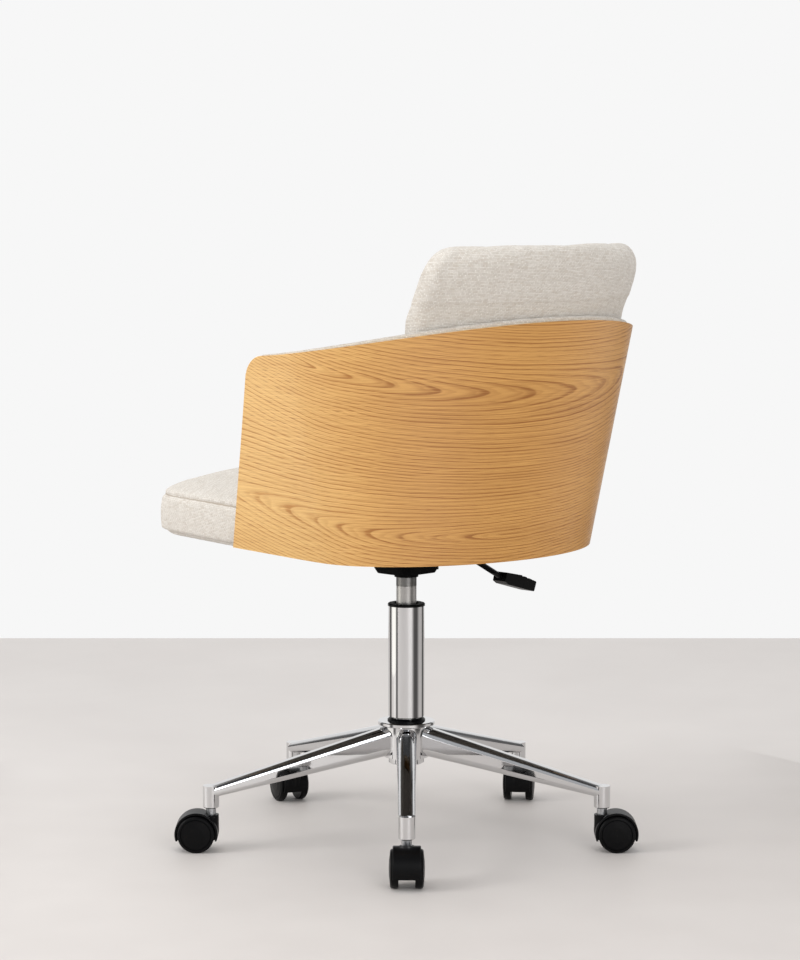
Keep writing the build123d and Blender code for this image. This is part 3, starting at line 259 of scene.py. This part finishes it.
# Plywood edge: cream plies with thin dark glue lines
def ply_material():
    made, w, shader = material("ply_edge", roughness=0.55)
    along, across = uv_pair(w, "grain")
    ply = across / 0.0015
    turn = ply.math("FLOOR").math("PINGPONG", 1.0)
    glue = (ply.math("FRACT") - 0.5).math("ABSOLUTE").step(0.40, 0.48)
    grain = w.noise(along * 60.0, across * 2500.0, 3.0, detail=3.0)
    pale = (grain * 0.6 + turn * 0.25).mixed(srgb(240, 219, 180), srgb(214, 181, 132))
    connect(shader, base_color=(glue * 0.45).mixed(pale, srgb(150, 112, 70)))
    connect(shader, normal=grain.bump(0.12, 0.0003))
    return made


# Upholstery: coarse weave of slubby yarns in oatmeal, cream and grey
def fabric_material(name, shaded):
    made, w, shader = material(name, roughness=0.92, sheen_weight=0.12, sheen_roughness=0.5)
    across, up = uv_pair(w, "weave")
    pull = w.noise(across * 14.0, up * 14.0, 2.0, detail=2.0) - 0.5
    warp = across * 520.0 + pull * 1.3
    weft = up * 520.0 + (w.noise(across * 17.0, up * 12.0, 5.0, detail=2.0) - 0.5) * 1.3
    column = warp.math("FLOOR")
    row = weft.math("FLOOR")
    over = ((column + row) / 3.0 + 0.05).math("FRACT").step(0.5, 0.52)
    warp_hump = (warp.math("FRACT") * pi).math("SINE")
    weft_hump = (weft.math("FRACT") * pi).math("SINE")
    warp_height = over * warp_hump * (0.55 + 0.45 * weft_hump)
    height = warp_height + (1.0 - over) * weft_hump * (0.55 + 0.45 * warp_hump)
    warp_tone = w.noise(column * 0.71, up * 70.0, 1.0, detail=2.0)
    weft_tone = w.noise(row * 0.71, across * 70.0, 7.0, detail=2.0)
    tone = over * warp_tone + (1.0 - over) * weft_tone
    fleck = w.random(row, (column * 0.34).math("FLOOR")).step(0.72, 1.0)
    cloud = w.noise(across * 5.0, up * 5.0, 3.0, detail=3.0)
    fuzz = w.noise(across * 1900.0, up * 1900.0, 4.0, detail=2.0)
    pale = (tone.step(0.28, 0.72)).mixed(srgb(212, 206, 197), srgb(239, 235, 228))
    flecked = (fleck * 0.45).mixed(pale, srgb(200, 188, 174))
    hollow = (1.0 - height) * 0.50 + (1.0 - over) * 0.14
    shade = hollow + (cloud - 0.5) * 0.10 + (fuzz - 0.5) * 0.2 + shaded
    connect(shader, base_color=shade.mixed(flecked, srgb(188, 176, 161)))
    connect(shader, normal=(height + fuzz * 0.35).bump(0.55, 0.0012))
    return made


def chrome_material():
    made, w, shader = material("chrome_plate", metallic=1.0, base_color=(0.66, 0.66, 0.665, 1.0))
    x, y, z = place(w)
    smear = w.noise(x, y, z, scale=26.0, detail=4.0)
    connect(shader, roughness=0.03 + 0.05 * smear.step(0.4, 0.8))
    connect(shader, normal=w.noise(x, y, z, scale=30.0, detail=1.0).bump(0.02, 0.002))
    return made


def steel_material(name, base, rough):
    made, w, shader = material(name, metallic=1.0)
    x, y, z = place(w)
    scratch = w.noise(x * 40.0, y * 40.0, z * 1400.0, detail=2.0)
    connect(shader, base_color=scratch.mixed([v * 0.82 for v in base[:3]] + [1.0], base))
    connect(shader, roughness=rough - 0.05 + 0.1 * scratch)
    return made


def coat_material(name, low, high, rough, grain_scale, depth):
    """Moulded or painted finish with a fine grain."""
    made, w, shader = material(name, specular_ior_level=0.12)
    x, y, z = place(w)
    grain = w.noise(x, y, z, scale=grain_scale, detail=3.0)
    cloud = w.noise(x, y, z, scale=35.0, detail=2.0)
    connect(shader, base_color=cloud.mixed(low, high), roughness=rough - 0.06 + 0.12 * cloud)
    connect(shader, normal=grain.bump(0.15, depth))
    return made


def board_material():
    made, w, shader = material("board_ply", roughness=0.6)
    x, y, z = place(w)
    fibre = w.noise(x * 260.0, y * 9.0, z * 400.0, detail=4.0)
    connect(shader, base_color=fibre.mixed(srgb(196, 160, 112), srgb(226, 197, 152)))
    connect(shader, normal=fibre.bump(0.2, 0.0004))
    return made


VENEER = veneer_material()
PLY = ply_material()
FABRIC = fabric_material("oatmeal_weave", 0.0)
# Painted shade: the same weave darkened, for the shadow along the seat's seam
FOLD_SHADE = fabric_material("oatmeal_fold_shade", 0.8)
FINISHES = {
    "chrome": chrome_material(),
    "cylinder_steel": steel_material("satin_steel", srgb(205, 203, 200), 0.36),
    "black_plastic": coat_material("black_nylon", srgb(3, 3, 4), srgb(8, 8, 9), 0.36, 2200.0, 0.0002),
    "zinc_steel": steel_material("zinc_plate", srgb(186, 188, 190), 0.34),
    "black_steel": coat_material("black_powder", srgb(9, 9, 10), srgb(16, 16, 17), 0.34, 1500.0, 0.0003),
    "rubber": coat_material("black_rubber", srgb(20, 20, 20), srgb(30, 30, 30), 0.75, 900.0, 0.0003),
    "veneer": VENEER,
    "plywood": board_material(),
    "upholstery": FABRIC,
}
for part in frame["record"]["subparts"]:
    node = frame["nodes"][part["node"]]
    for index in range(len(node.material_slots)):
        node.material_slots[index].material = FINISHES[part["material_slot"]]


# Meshes
def finished(name, bm, materials, body):
    """Makes an object of a bmesh, shaded smooth, riding a body with its material slot."""
    bmesh.ops.recalc_face_normals(bm, faces=bm.faces)
    for face in bm.faces:
        face.smooth = True
    mesh = bpy.data.meshes.new(name)
    bm.to_mesh(mesh)
    bm.free()
    made = bpy.data.objects.new(name, mesh)
    bpy.context.scene.collection.objects.link(made)
    for finish in materials:
        mesh.materials.append(finish)
    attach(made, body)
    return made


def arc_points(first, middle, last, count):
    """Points along the circle through three points."""
    ax, ay, bx, by, cx, cy = *first, *middle, *last
    d = 2 * (ax * (by - cy) + bx * (cy - ay) + cx * (ay - by))
    a, b, c = ax * ax + ay * ay, bx * bx + by * by, cx * cx + cy * cy
    ux = (a * (by - cy) + b * (cy - ay) + c * (ay - by)) / d
    uy = (a * (cx - bx) + b * (ax - cx) + c * (bx - ax)) / d
    turns = [atan2(y - uy, x - ux) for x, y in (first, middle, last)]
    start = turns[0]
    mid = (turns[1] - start) % (2 * pi)
    end = (turns[2] - start) % (2 * pi)
    sweep = end if mid < end else end - 2 * pi
    radius = hypot(ax - ux, ay - uy)
    angles = [start + sweep * i / count for i in range(count)]
    return [(ux + radius * cos(angle), uy + radius * sin(angle)) for angle in angles]


def evenly(points, count):
    """A closed line as evenly spaced points."""
    ends = points[1:] + points[:1]
    lengths = [hypot(b[0] - a[0], b[1] - a[1]) for a, b in zip(points, ends)]
    spacing = sum(lengths) / count
    result = []
    index, done = 0, 0.0
    for i in range(count):
        goal = i * spacing
        while done + lengths[index] < goal:
            done += lengths[index]
            index += 1
        share = (goal - done) / lengths[index]
        a, b = points[index], ends[index]
        result.append((a[0] + (b[0] - a[0]) * share, a[1] + (b[1] - a[1]) * share))
    return result


def top_z(y, lift_back, lift_front):
    """Height of the shell's top edge over a place along its side: a parabola through three points."""
    lifts = (lift_back, (lift_back + lift_front) / 2, lift_front)
    nodes = [(at, z + lift) for (at, z), lift in zip((RIM_BACK, RIM_MIDDLE, RIM_FRONT), lifts)]
    total = 0.0
    for i, (yi, zi) in enumerate(nodes):
        term = zi
        for j, (yj, _) in enumerate(nodes):
            if i != j:
                term *= (y - yj) / (yi - yj)
        total += term
    return total


def half_width(z):
    """Outer half width of the shell at a height."""
    return SHELL_LOW_HALF_W + (z - SHELL_LOW_Z) * SHELL_LEAN


def bent_sheet(inset, foot_z, front_foot_z, corner, set_back=0.0, lift_back=0.0, lift_front=0.0):
    """Columns of points on the shell's surface, moved in by an inset, from one front edge round to the other.

    Each point comes with its length along the sheet, taken at mid height.
    """
    columns, rows, arm_share, crowding = 300, 64, 0.24, 0.10
    slant = sqrt(1 + ARM_LEAN * ARM_LEAN)
    low_y = ARM_FOOT_Y + set_back + ARM_LEAN * (front_foot_z - SHELL_FOOT_Z)
    high_y = ARM_FOOT_Y + set_back + ARM_LEAN * (RIM_FRONT[1] + lift_front - SHELL_FOOT_Z)
    sheet = []
    for i in range(columns + 1):
        t = 1 - 2 * i / columns
        side = 1 if t >= 0 else -1
        share = abs(t)
        line = []
        for k in range(rows + 1):
            v = k / rows
            v -= crowding * sin(2 * pi * v) / (2 * pi)
            front_y = low_y + (high_y - low_y) * v
            if share > 1 - arm_share:
                y = ROUND_Y + (front_y - ROUND_Y) * (share - 1 + arm_share) / arm_share
                turn = 0.0
            else:
                turn = pi / 2 * (1 - share / (1 - arm_share))
                y = ROUND_Y + sin(turn) * ROUND_DEPTH
            sweep = min(max(ROUND_Y + FOOT_BLEND - y, 0.0), 2 * FOOT_BLEND)
            rise = sweep * sweep / (4 * FOOT_BLEND) + max(ROUND_Y - FOOT_BLEND - y, 0.0)
            foot = foot_z + (front_foot_z - foot_z) * rise / (ROUND_Y - low_y)
            top = top_z(y, lift_back, lift_front)
            z = foot + (top - foot) * v
            ahead = y - front_y
            below = (top - z) * slant
            if turn == 0.0 and ahead < corner and below < corner:
                dx, dz = corner - ahead, corner - below
                pull = max(dx, dz) / max(hypot(dx, dz), 1e-9)
                drop = dz * (1 - pull) / slant
                y += dx * (1 - pull) - ARM_LEAN * drop
                z -= drop
            half = half_width(z) - inset
            depth = half_width(z) * SHELL_RATIO - inset
            if turn == 0.0:
                spot = Vector((side * half, y, z))
                length = side * (ROUND_LENGTH + ROUND_Y - y)
            else:
                spot = Vector((side * half * cos(turn), ROUND_Y + depth * sin(turn), z))
                length = side * ROUND_LENGTH * (1 - turn / (pi / 2))
            line.append((spot, -length))
        sheet.append(line)
    return sheet


def laid_grid(columns, uv_name, coords):
    """Grid of quads laid over columns of points, with their coordinates in a UV map.

    The layer of numbers tells each point's column and row, also after an extrusion.
    """
    bm = bmesh.new()
    across, up = len(columns), len(columns[0])
    bmesh.ops.create_grid(bm, x_segments=across - 1, y_segments=up - 1, size=1.0)
    uv = bm.loops.layers.uv.new(uv_name)
    number = bm.verts.layers.int.new("number")
    for index, vert in enumerate(bm.verts):
        vert[number] = index
        vert.co = columns[index % across][index // across]
    for face in bm.faces:
        for loop in face.loops:
            index = loop.vert[number]
            loop[uv].uv = coords[index % across][index // across]
    return bm, uv, number


def slab(outer, inner, uv_name):
    """Closed slab, as a grid on the outer points extruded to the inner ones, and the faces of its rim."""
    across, up = len(outer), len(outer[0])
    spots = [[spot for spot, _ in line] for line in outer]
    coords = [[(length, spot.z) for spot, length in line] for line in outer]
    bm, uv, number = laid_grid(spots, uv_name, coords)
    outer_verts = set(bm.verts)
    skins = set(bm.faces)
    grown = bmesh.ops.extrude_face_region(bm, geom=list(bm.faces))["geom"]
    skins.update(item for item in grown if isinstance(item, bmesh.types.BMFace))
    for vert in set(bm.verts) - outer_verts:
        vert.co = inner[vert[number] % across][vert[number] // across][0]
    rim = [face for face in bm.faces if face not in skins]

    border = [(i, 0) for i in range(across)] + [(across - 1, k) for k in range(1, up)]
    border += [(i, up - 1) for i in range(across - 2, -1, -1)] + [(0, k) for k in range(up - 2, 0, -1)]
    runs, run = {}, 0.0
    for here, after in zip(border, border[1:] + border[:1]):
        runs[here[0] + across * here[1]] = run
        run += (spots[here[0]][here[1]] - spots[after[0]][after[1]]).length
    thickness = (outer[0][up // 2][0] - inner[0][up // 2][0]).length
    for face in rim:
        ends = [runs[vert[number]] for vert in face.verts]
        closing = max(ends) - min(ends) > run / 2
        for loop in face.loops:
            along = runs[loop.vert[number]]
            if closing and along == 0.0:
                along = run
            loop[uv].uv = (along, 0.0 if loop.vert in outer_verts else thickness)
    return bm, rim


def in_arm_corner(vert):
    """Whether a point of the shell's rim lies in the rounded corner at the front of an arm."""
    drop = SHELL_CORNER / sqrt(1 + ARM_LEAN * ARM_LEAN)
    return vert.co.y < RIM_FRONT[0] + SHELL_CORNER and vert.co.z > RIM_FRONT[1] - drop


# Shell: bent plywood with crisp edges that show its plies, eased at the corners of the arms
outline = {"foot_z": SHELL_FOOT_Z, "front_foot_z": SHELL_FRONT_FOOT_Z, "corner": SHELL_CORNER}
bm, rim = slab(bent_sheet(0.0, **outline), bent_sheet(SHELL_WALL, **outline), "grain")
for face in rim:
    face.material_index = 1
bm.normal_update()
edges = [edge for edge in bm.edges if len({face.material_index for face in edge.link_faces}) == 2]
for edge in edges:
    edge.smooth = False
corners = [edge for edge in edges if all(in_arm_corner(vert) for vert in edge.verts)]
eased = bmesh.ops.bevel(
    bm, geom=corners, offset=SHELL_EASE, segments=1, profile=0.5, affect="EDGES", material=1
)
for face in eased["faces"]:
    for edge in face.edges:
        edge.smooth = False
shell = finished("shell_sheet", bm, [VENEER, PLY], "seat")
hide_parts("shell")

# Lining: thin padded skin inside the shell, with its rim just above the shell's
outline = {
    "foot_z": LINING_FOOT_Z,
    "front_foot_z": LINING_FOOT_Z,
    "corner": LINING_CORNER,
    "set_back": LINING_SET_BACK,
    "lift_back": LINING_LIFT_BACK,
    "lift_front": LINING_LIFT_FRONT,
}
bm, _ = slab(bent_sheet(LINING_INSET, **outline), bent_sheet(LINING_INSET + LINING_T, **outline), "weave")
lining = finished("lining_pad", bm, [FABRIC], "seat")
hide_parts("shell_lining")


def stacked(rings):
    """Closed form through rings of points: a face extruded from ring to ring, then closed below.

    The rings are taken clockwise from above, as a face that looks down is.
    """
    bm = bmesh.new()
    foot = [bm.verts.new(point) for point in rings[0][::-1]]
    cap = bm.faces.new(foot)
    for ring in rings[1:]:
        cap = bmesh.ops.extrude_discrete_faces(bm, faces=[cap])["faces"][0]
        for vert, point in zip(cap.verts, ring[::-1]):
            vert.co = point
    bm.faces.new(foot)
    return bm


def inflated(made, voxel, limit, hold):
    """Even quads, then air pressure in cloth; points move by a limit at most, and not where hold says so."""
    bpy.context.view_layer.objects.active = made
    remesh = made.modifiers.new("even", "REMESH")
    remesh.mode = "VOXEL"
    remesh.voxel_size = voxel
    bpy.ops.object.modifier_apply(modifier=remesh.name)
    mesh = made.data
    start = [vert.co.copy() for vert in mesh.vertices]
    group = made.vertex_groups.new(name="held")
    for index, spot in enumerate(start):
        weight = hold(spot)
        if weight > 0:
            group.add([index], weight, "REPLACE")
    cloth = made.modifiers.new("air", "CLOTH")
    cloth.settings.use_pressure = True
    cloth.settings.uniform_pressure_force = 4.0
    cloth.settings.quality = 4
    cloth.settings.tension_stiffness = 12.0
    cloth.settings.compression_stiffness = 12.0
    cloth.settings.bending_stiffness = 0.4
    cloth.settings.vertex_group_mass = "held"
    cloth.settings.effector_weights.gravity = 0.0
    scene = bpy.context.scene
    for step in range(1, 21):
        scene.frame_set(step)
    bpy.ops.object.modifier_apply(modifier=cloth.name)
    scene.frame_set(1)
    made.vertex_groups.clear()
    for vert, spot in zip(mesh.vertices, start):
        moved = vert.co - spot
        if moved.length > limit:
            vert.co = spot + moved.normalized() * limit


def dressed(made):
    """One finer level, smooth faces and a weave map laid on from the side each face looks to."""
    finer = made.modifiers.new("finer", "SUBSURF")
    finer.levels = finer.render_levels = 1
    bpy.context.view_layer.objects.active = made
    bpy.ops.object.modifier_apply(modifier=finer.name)
    mesh = made.data
    uv = mesh.uv_layers.new(name="weave")
    for polygon in mesh.polygons:
        polygon.use_smooth = True
        sides = [abs(v) for v in polygon.normal]
        axis = sides.index(max(sides))
        first, second = ((1, 2), (0, 2), (0, 1))[axis]
        for loop in polygon.loop_indices:
            co = mesh.vertices[mesh.loops[loop].vertex_index].co
            uv.data[loop].uv = (co[first], co[second])


def fuller(made, gain, low_z):
    """Moves the skin out along its normals above a height, for what the even quads took off."""
    mesh = made.data
    normals = [vert.normal.copy() for vert in mesh.vertices]
    for vert, normal in zip(mesh.vertices, normals):
        if vert.co.z > low_z:
            vert.co += normal * gain * min(1.0, (vert.co.z - low_z) / 0.004)


# Seat cushion: boxed foam with a seam round its crown
def rounded_path(corners):
    """Closed outline of straight lines with an arc of a given radius at each corner."""
    points = []
    count = len(corners)
    for i, (x, y, radius) in enumerate(corners):
        before = Vector(corners[i - 1][:2]) - Vector((x, y))
        after = Vector(corners[(i + 1) % count][:2]) - Vector((x, y))
        before.normalize()
        after.normalize()
        if radius == 0:
            points.append((x, y))
            continue
        half = before.angle(after) / 2
        reach = radius / (sin(half) / cos(half))
        middle = (before + after).normalized() * (radius / sin(half) - radius)
        corner = Vector((x, y))
        first, last = corner + before * reach, corner + after * reach
        points += arc_points(first[:], (corner + middle)[:], last[:], 24) + [tuple(last)]
    return points


rear = [
    (SEAT_HALF_W * cos(angle), ROUND_Y + SEAT_REAR_DEPTH * sin(angle))
    for angle in (pi * i / 80 for i in range(81))
]
front = [
    (-SEAT_HALF_W, ROUND_Y, 0),
    (-SEAT_HALF_W, SEAT_TAPER_Y, 0.200),
    (-SEAT_FRONT_HALF_W, SEAT_FRONT_Y, 0.085),
    (SEAT_FRONT_HALF_W, SEAT_FRONT_Y, 0.085),
    (SEAT_HALF_W, SEAT_TAPER_Y, 0.200),
    (SEAT_HALF_W, ROUND_Y, 0),
]
SEAT_PLAN = evenly(rear + rounded_path(front)[1:-1], 300)


def seat_ring(z, inset):
    """Ring of points round the seat, drawn in towards its middle, with the skirt hanging down in front."""
    scale = 1 - inset / SEAT_HALF_W
    hang = SKIRT_DROP * min(1.0, max(0.0, (SEAT_SEAM_Z - z) / (SEAT_SEAM_Z - SEAT_FOOT_Z)))
    points = [(x * scale, SEAT_MIDDLE_Y + (y - SEAT_MIDDLE_Y) * scale) for x, y in SEAT_PLAN]
    return [(x, y, z - hang * min(1.0, max(0.0, (SKIRT_Y - y) / 0.014))) for x, y in points]


boxing = [
    (SEAT_FOOT_Z, 0.0105),
    (SEAT_FOOT_Z, 0.006),
    (SEAT_FOOT_Z + 0.0025, 0.0025),
    (SEAT_FOOT_Z + 0.007, 0.0008),
    (SEAT_FOOT_Z + 0.016, 0.0),
    (SEAT_FOOT_Z + 0.026, 0.0),
    (SEAT_SEAM_Z - 0.007, 0.0012),
    (SEAT_SEAM_Z, SEAT_SEAM_INSET),
]
crown = [
    (SEAT_SEAM_Z + SEAT_CROWN * (1 - (1 - d / SEAT_CROWN_REACH) ** 4), SEAT_SEAM_INSET + d)
    for d in (0.002, 0.006, 0.012, 0.020, 0.030, 0.042, 0.056, 0.072, 0.090, 0.105, 0.119)
]
bm = stacked([seat_ring(z, inset) for z, inset in boxing + crown])
seat = finished("seat_pad", bm, [FABRIC], "seat")


def seat_hold(spot):
    """Underside and seam of the seat stay put."""
    if spot.z < SEAT_FOOT_Z + 0.004 or abs(spot.z - SEAT_SEAM_Z) < 0.003:
        return 1.0
    return 0.0


inflated(seat, 0.005, 0.005, seat_hold)
dressed(seat)
fuller(seat, SEAT_GAIN, SEAT_FOOT_Z - 0.008)
middle = Vector((0, SEAT_MIDDLE_Y, 0))
for vert in seat.data.vertices:
    outward = Vector((vert.co.x, vert.co.y, 0)) - middle
    reach = outward.length
    if reach > 0.11:
        depth = 0.0045 * exp(-((vert.co.z - SEAT_SEAM_Z) / 0.0026) ** 2)
        vert.co -= outward / reach * depth
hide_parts("seat_cushion")


# Seam of the seat: a thin folded edge lying in the groove, darkened with painted shade for the shadow in its
# fold
def swept(points, radius, sides):
    """Closed tube along a ring of points: a grid rolled up and merged along both seams."""
    count = len(points)
    spots = []
    for i in range(count + 1):
        ahead = Vector(points[(i + 1) % count]) - Vector(points[i % count - 1])
        across = Vector((ahead.y, -ahead.x, 0)).normalized()
        turns = [2 * pi * k / sides for k in range(sides + 1)]
        spots.append([
            Vector(points[i % count]) + across * radius * cos(turn) + Vector((0, 0, radius * sin(turn)))
            for turn in turns
        ])
    coords = [[(i * 0.006, k * 0.001) for k in range(sides + 1)] for i in range(count + 1)]
    bm = laid_grid(spots, "weave", coords)[0]
    bmesh.ops.remove_doubles(bm, verts=bm.verts, dist=1e-5)
    return bm


seam = swept(seat_ring(SEAT_SEAM_Z, 0.0016), SEAM_R, 8)
finished("seat_seam", seam, [FOLD_SHADE], "seat")


# Back cushion: soft pad that follows the round back and leans with it
def back_ring(z, inset_x, inset_y):
    """Ring of points round the back cushion at a height."""
    rim_z = RIM_BACK[1]
    above, below = max(0.0, z - rim_z), min(0.0, z - rim_z)
    half = BACK_HALF_W + below * 0.085 - above * 0.05 - inset_x
    wall_y = ROUND_Y + half_width(z) * SHELL_RATIO - LINING_INSET - LINING_T
    over_rim = 0.0045 * min(1.0, max(0.0, (z - 0.735) / 0.02))
    rear_y = wall_y - 0.001 + above * 0.20 + over_rim
    slim = 1 - 2 * inset_y / BACK_T
    end_x = half + BACK_END_REACH * slim
    end_y = rear_y - BACK_BOW - BACK_END_R
    rear_end, front_end = end_y + BACK_END_R * slim, end_y - BACK_END_R * slim
    points = arc_points((half, rear_end), (0, rear_y - inset_y), (-half, rear_end), 60)
    points += arc_points((-half, rear_end), (-end_x, end_y), (-half, front_end), 10)
    points += arc_points((-half, front_end), (0, rear_y - BACK_T + inset_y), (half, front_end), 60)
    points += arc_points((half, front_end), (end_x, end_y), (half, rear_end), 10)
    return [(x, y, z) for x, y in points]


def rounding(share):
    """How far a rounded corner has drawn in at a share of its height."""
    return 1 - sqrt(max(0.0, 1 - share * share))


def foot_level(share):
    """Height and insets of a ring in the rounding at the cushion's foot."""
    bend = rounding(share)
    return BACK_FOOT_Z + BACK_CORNER * (1 - share), BACK_CORNER * 0.6 * bend, 0.017 * bend


def top_level(share):
    """Height and insets of a ring in the rounding at the cushion's top, which narrows late in depth."""
    late = rounding(max(0, 2.5 * share - 1.5))
    return BACK_TOP_Z - BACK_CORNER * (1 - share), BACK_CORNER * 0.95 * rounding(share), 0.016 * late


levels = [foot_level(share) for share in (1.0, 0.97, 0.9, 0.8, 0.6, 0.4, 0.2)]
straight = BACK_STRAIGHT_HIGH_Z - BACK_STRAIGHT_LOW_Z
levels += [(BACK_STRAIGHT_LOW_Z + straight * i / 10, 0.0, 0.0) for i in range(11)]
levels += [top_level(share) for share in (0.2, 0.4, 0.6, 0.75, 0.88, 0.95, 0.985, 1.0)]
bm = stacked([back_ring(*level) for level in levels])
back = finished("back_pad", bm, [FABRIC], "seat")


def back_hold(spot):
    """The side that leans on the shell stays put."""
    rear_y = ROUND_Y + half_width(spot.z) * SHELL_RATIO - LINING_INSET - LINING_T
    if spot.z < 0.765 and abs(spot.x) > 0.165:
        return 1.0
    skin_y = rear_y - 0.053 * (spot.x / BACK_HALF_W) ** 2 - 0.006
    return 1.0 if spot.z < 0.74 and spot.y > skin_y else 0.0


inflated(back, 0.005, 0.004, back_hold)
dressed(back)
fuller(back, BACK_GAIN, 0.745)
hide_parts("back_cushion")


# Stage: floor, wall, camera and lights
def plane(name, corners, finish):
    """Flat stage piece through four corners."""
    mesh = bpy.data.meshes.new(name)
    mesh.from_pydata(corners, [], [(0, 1, 2, 3)])
    made = bpy.data.objects.new(name, mesh)
    bpy.context.scene.collection.objects.link(made)
    mesh.materials.append(finish)
    return made


TURN = radians(44)
TOWARDS = Vector((cos(TURN), sin(TURN), 0))
RIGHT = Vector((-sin(TURN), cos(TURN), 0))


def spot_at(right, towards, up):
    """Place given from the camera's side: to its right, towards it and up."""
    return RIGHT * right + TOWARDS * towards + Vector((0, 0, up))


def floor_material():
    made, w, shader = material("pale_floor")
    x, y, z = place(w)
    cloud = w.noise(x, y, z, scale=2.6, detail=6.0)
    patch = w.noise(x, y, z, scale=11.0, detail=5.0)
    tone = (cloud - 0.5) * 0.9 + (patch - 0.5) * 0.5 + 0.5
    connect(shader, base_color=tone.mixed(srgb(202, 196, 192), srgb(215, 210, 206)))
    connect(shader, roughness=0.5 + 0.15 * patch)
    return made


def glow_material(name, value, strength=1.0):
    """Finish that only gives light; its wire and shader come with it."""
    black = (0, 0, 0, 1)
    glow = {"emission_color": value, "emission_strength": strength}
    return material(name, base_color=black, specular_ior_level=0.0, **glow)


STAGE_HALF_W = 6.0
STAGE_FRONT = 6.0
WALL = -1.77
WALL_TOP = 4.0
wall_left, wall_right = spot_at(-STAGE_HALF_W, WALL, 0), spot_at(STAGE_HALF_W, WALL, 0)
floor_right, floor_left = spot_at(STAGE_HALF_W, STAGE_FRONT, 0), spot_at(-STAGE_HALF_W, STAGE_FRONT, 0)
wall_up = Vector((0, 0, WALL_TOP))
plane("floor", [wall_left, wall_right, floor_right, floor_left], floor_material())
white = glow_material("white_wall", srgb(247, 247, 247))[0]
plane("wall", [wall_left, wall_right, wall_right + wall_up, wall_left + wall_up], white)


def card_finish(name, value, strength, cover):
    """Glow that fades out towards the edges of its card."""
    made, w, shader = glow_material(name, value, strength)
    u, v = uv_pair(w, "card")
    fade = (u - 0.5).math("ABSOLUTE").step(0.5, 0.1) * (v - 0.5).math("ABSOLUTE").step(0.5, 0.3)
    connect(shader, alpha=fade * cover)
    return made


BLACK = card_finish("black_card", (0, 0, 0, 1), 0.0, 0.85)
WHITE = card_finish("white_card", (1, 0.98, 0.92, 1), 1.5, 1.0)


def reflected_card(name, middle, side, up, finish=BLACK):
    """Card that only mirrors and sheens see, as the dark and the bright parts of a studio."""
    left, right = middle - side, middle + side
    card = plane(name, [left - up, right - up, right + up, left + up], finish)
    uv = card.data.uv_layers.new(name="card")
    for loop, coord in zip(uv.data, ((0, 0), (1, 0), (1, 1), (0, 1))):
        loop.uv = coord
    card.visible_camera = card.visible_diffuse = card.visible_shadow = card.visible_transmission = False


reflected_card("dark_ceiling", spot_at(0.2, 0.8, 2.6), RIGHT * 1.8, TOWARDS * 1.7)
# Painted reflection: a dark card under the seat, so the chrome below mirrors dark in place of the shell's
# wood
reflected_card("dark_underside", spot_at(0, 0, 0.350), RIGHT * 0.60, TOWARDS * 0.33)
for turn, strip_half_w in ((-118, 0.268), (-62, 0.1742), (60, 0.469), (126, 0.268)):
    away = RIGHT * sin(radians(turn)) + TOWARDS * cos(radians(turn))
    across = RIGHT * cos(radians(turn)) - TOWARDS * sin(radians(turn))
    middle = away * 0.8 + Vector((0, 0, 0.25))
    reflected_card(f"dark_strip_{turn}", middle, across * strip_half_w, Vector((0, 0, 0.75)))
reflected_card("bright_flank", spot_at(-1.35, 0.15, 0.30), TOWARDS * 0.9, Vector((0, 0, 0.45)), WHITE)


def softbox(name, where, aim, width, height, power):
    """Area light that looks at a place."""
    data = bpy.data.lights.new(name, "AREA")
    data.shape = "RECTANGLE"
    data.size, data.size_y, data.energy = width, height, power
    made = bpy.data.objects.new(name, data)
    bpy.context.scene.collection.objects.link(made)
    made.location = where
    made.rotation_euler = (aim - where).to_track_quat("-Z", "Y").to_euler()


AIM = Vector((0, 0, 0.45))
softbox("key", spot_at(-3.3, 1.2, 1.8), AIM, 1.8, 1.8, 70)
softbox("fill", spot_at(1.6, 3.4, 1.6), AIM, 2.0, 2.0, 58)
softbox("top", spot_at(-0.4, 0.2, 3.2), AIM, 3.4, 3.0, 40)

world = bpy.data.worlds.new("studio")
bpy.context.scene.world = world
world.use_nodes = True
world.node_tree.nodes["Background"].inputs["Color"].default_value = (0.9, 0.92, 0.95, 1)
world.node_tree.nodes["Background"].inputs["Strength"].default_value = 0.57

camera_data = bpy.data.cameras.new("photo_view")
camera_data.lens = 108.9
camera_data.sensor_width = 36.0
camera_data.clip_end = 50.0
camera = bpy.data.objects.new("photo_view", camera_data)
bpy.context.scene.collection.objects.link(camera)
camera.location = (2.8475, 2.7376, 0.8943)
camera.rotation_euler = (radians(90 - 5.768), 0, radians(134))
bpy.context.scene.camera = camera
bpy.context.scene.view_settings.view_transform = "Standard"
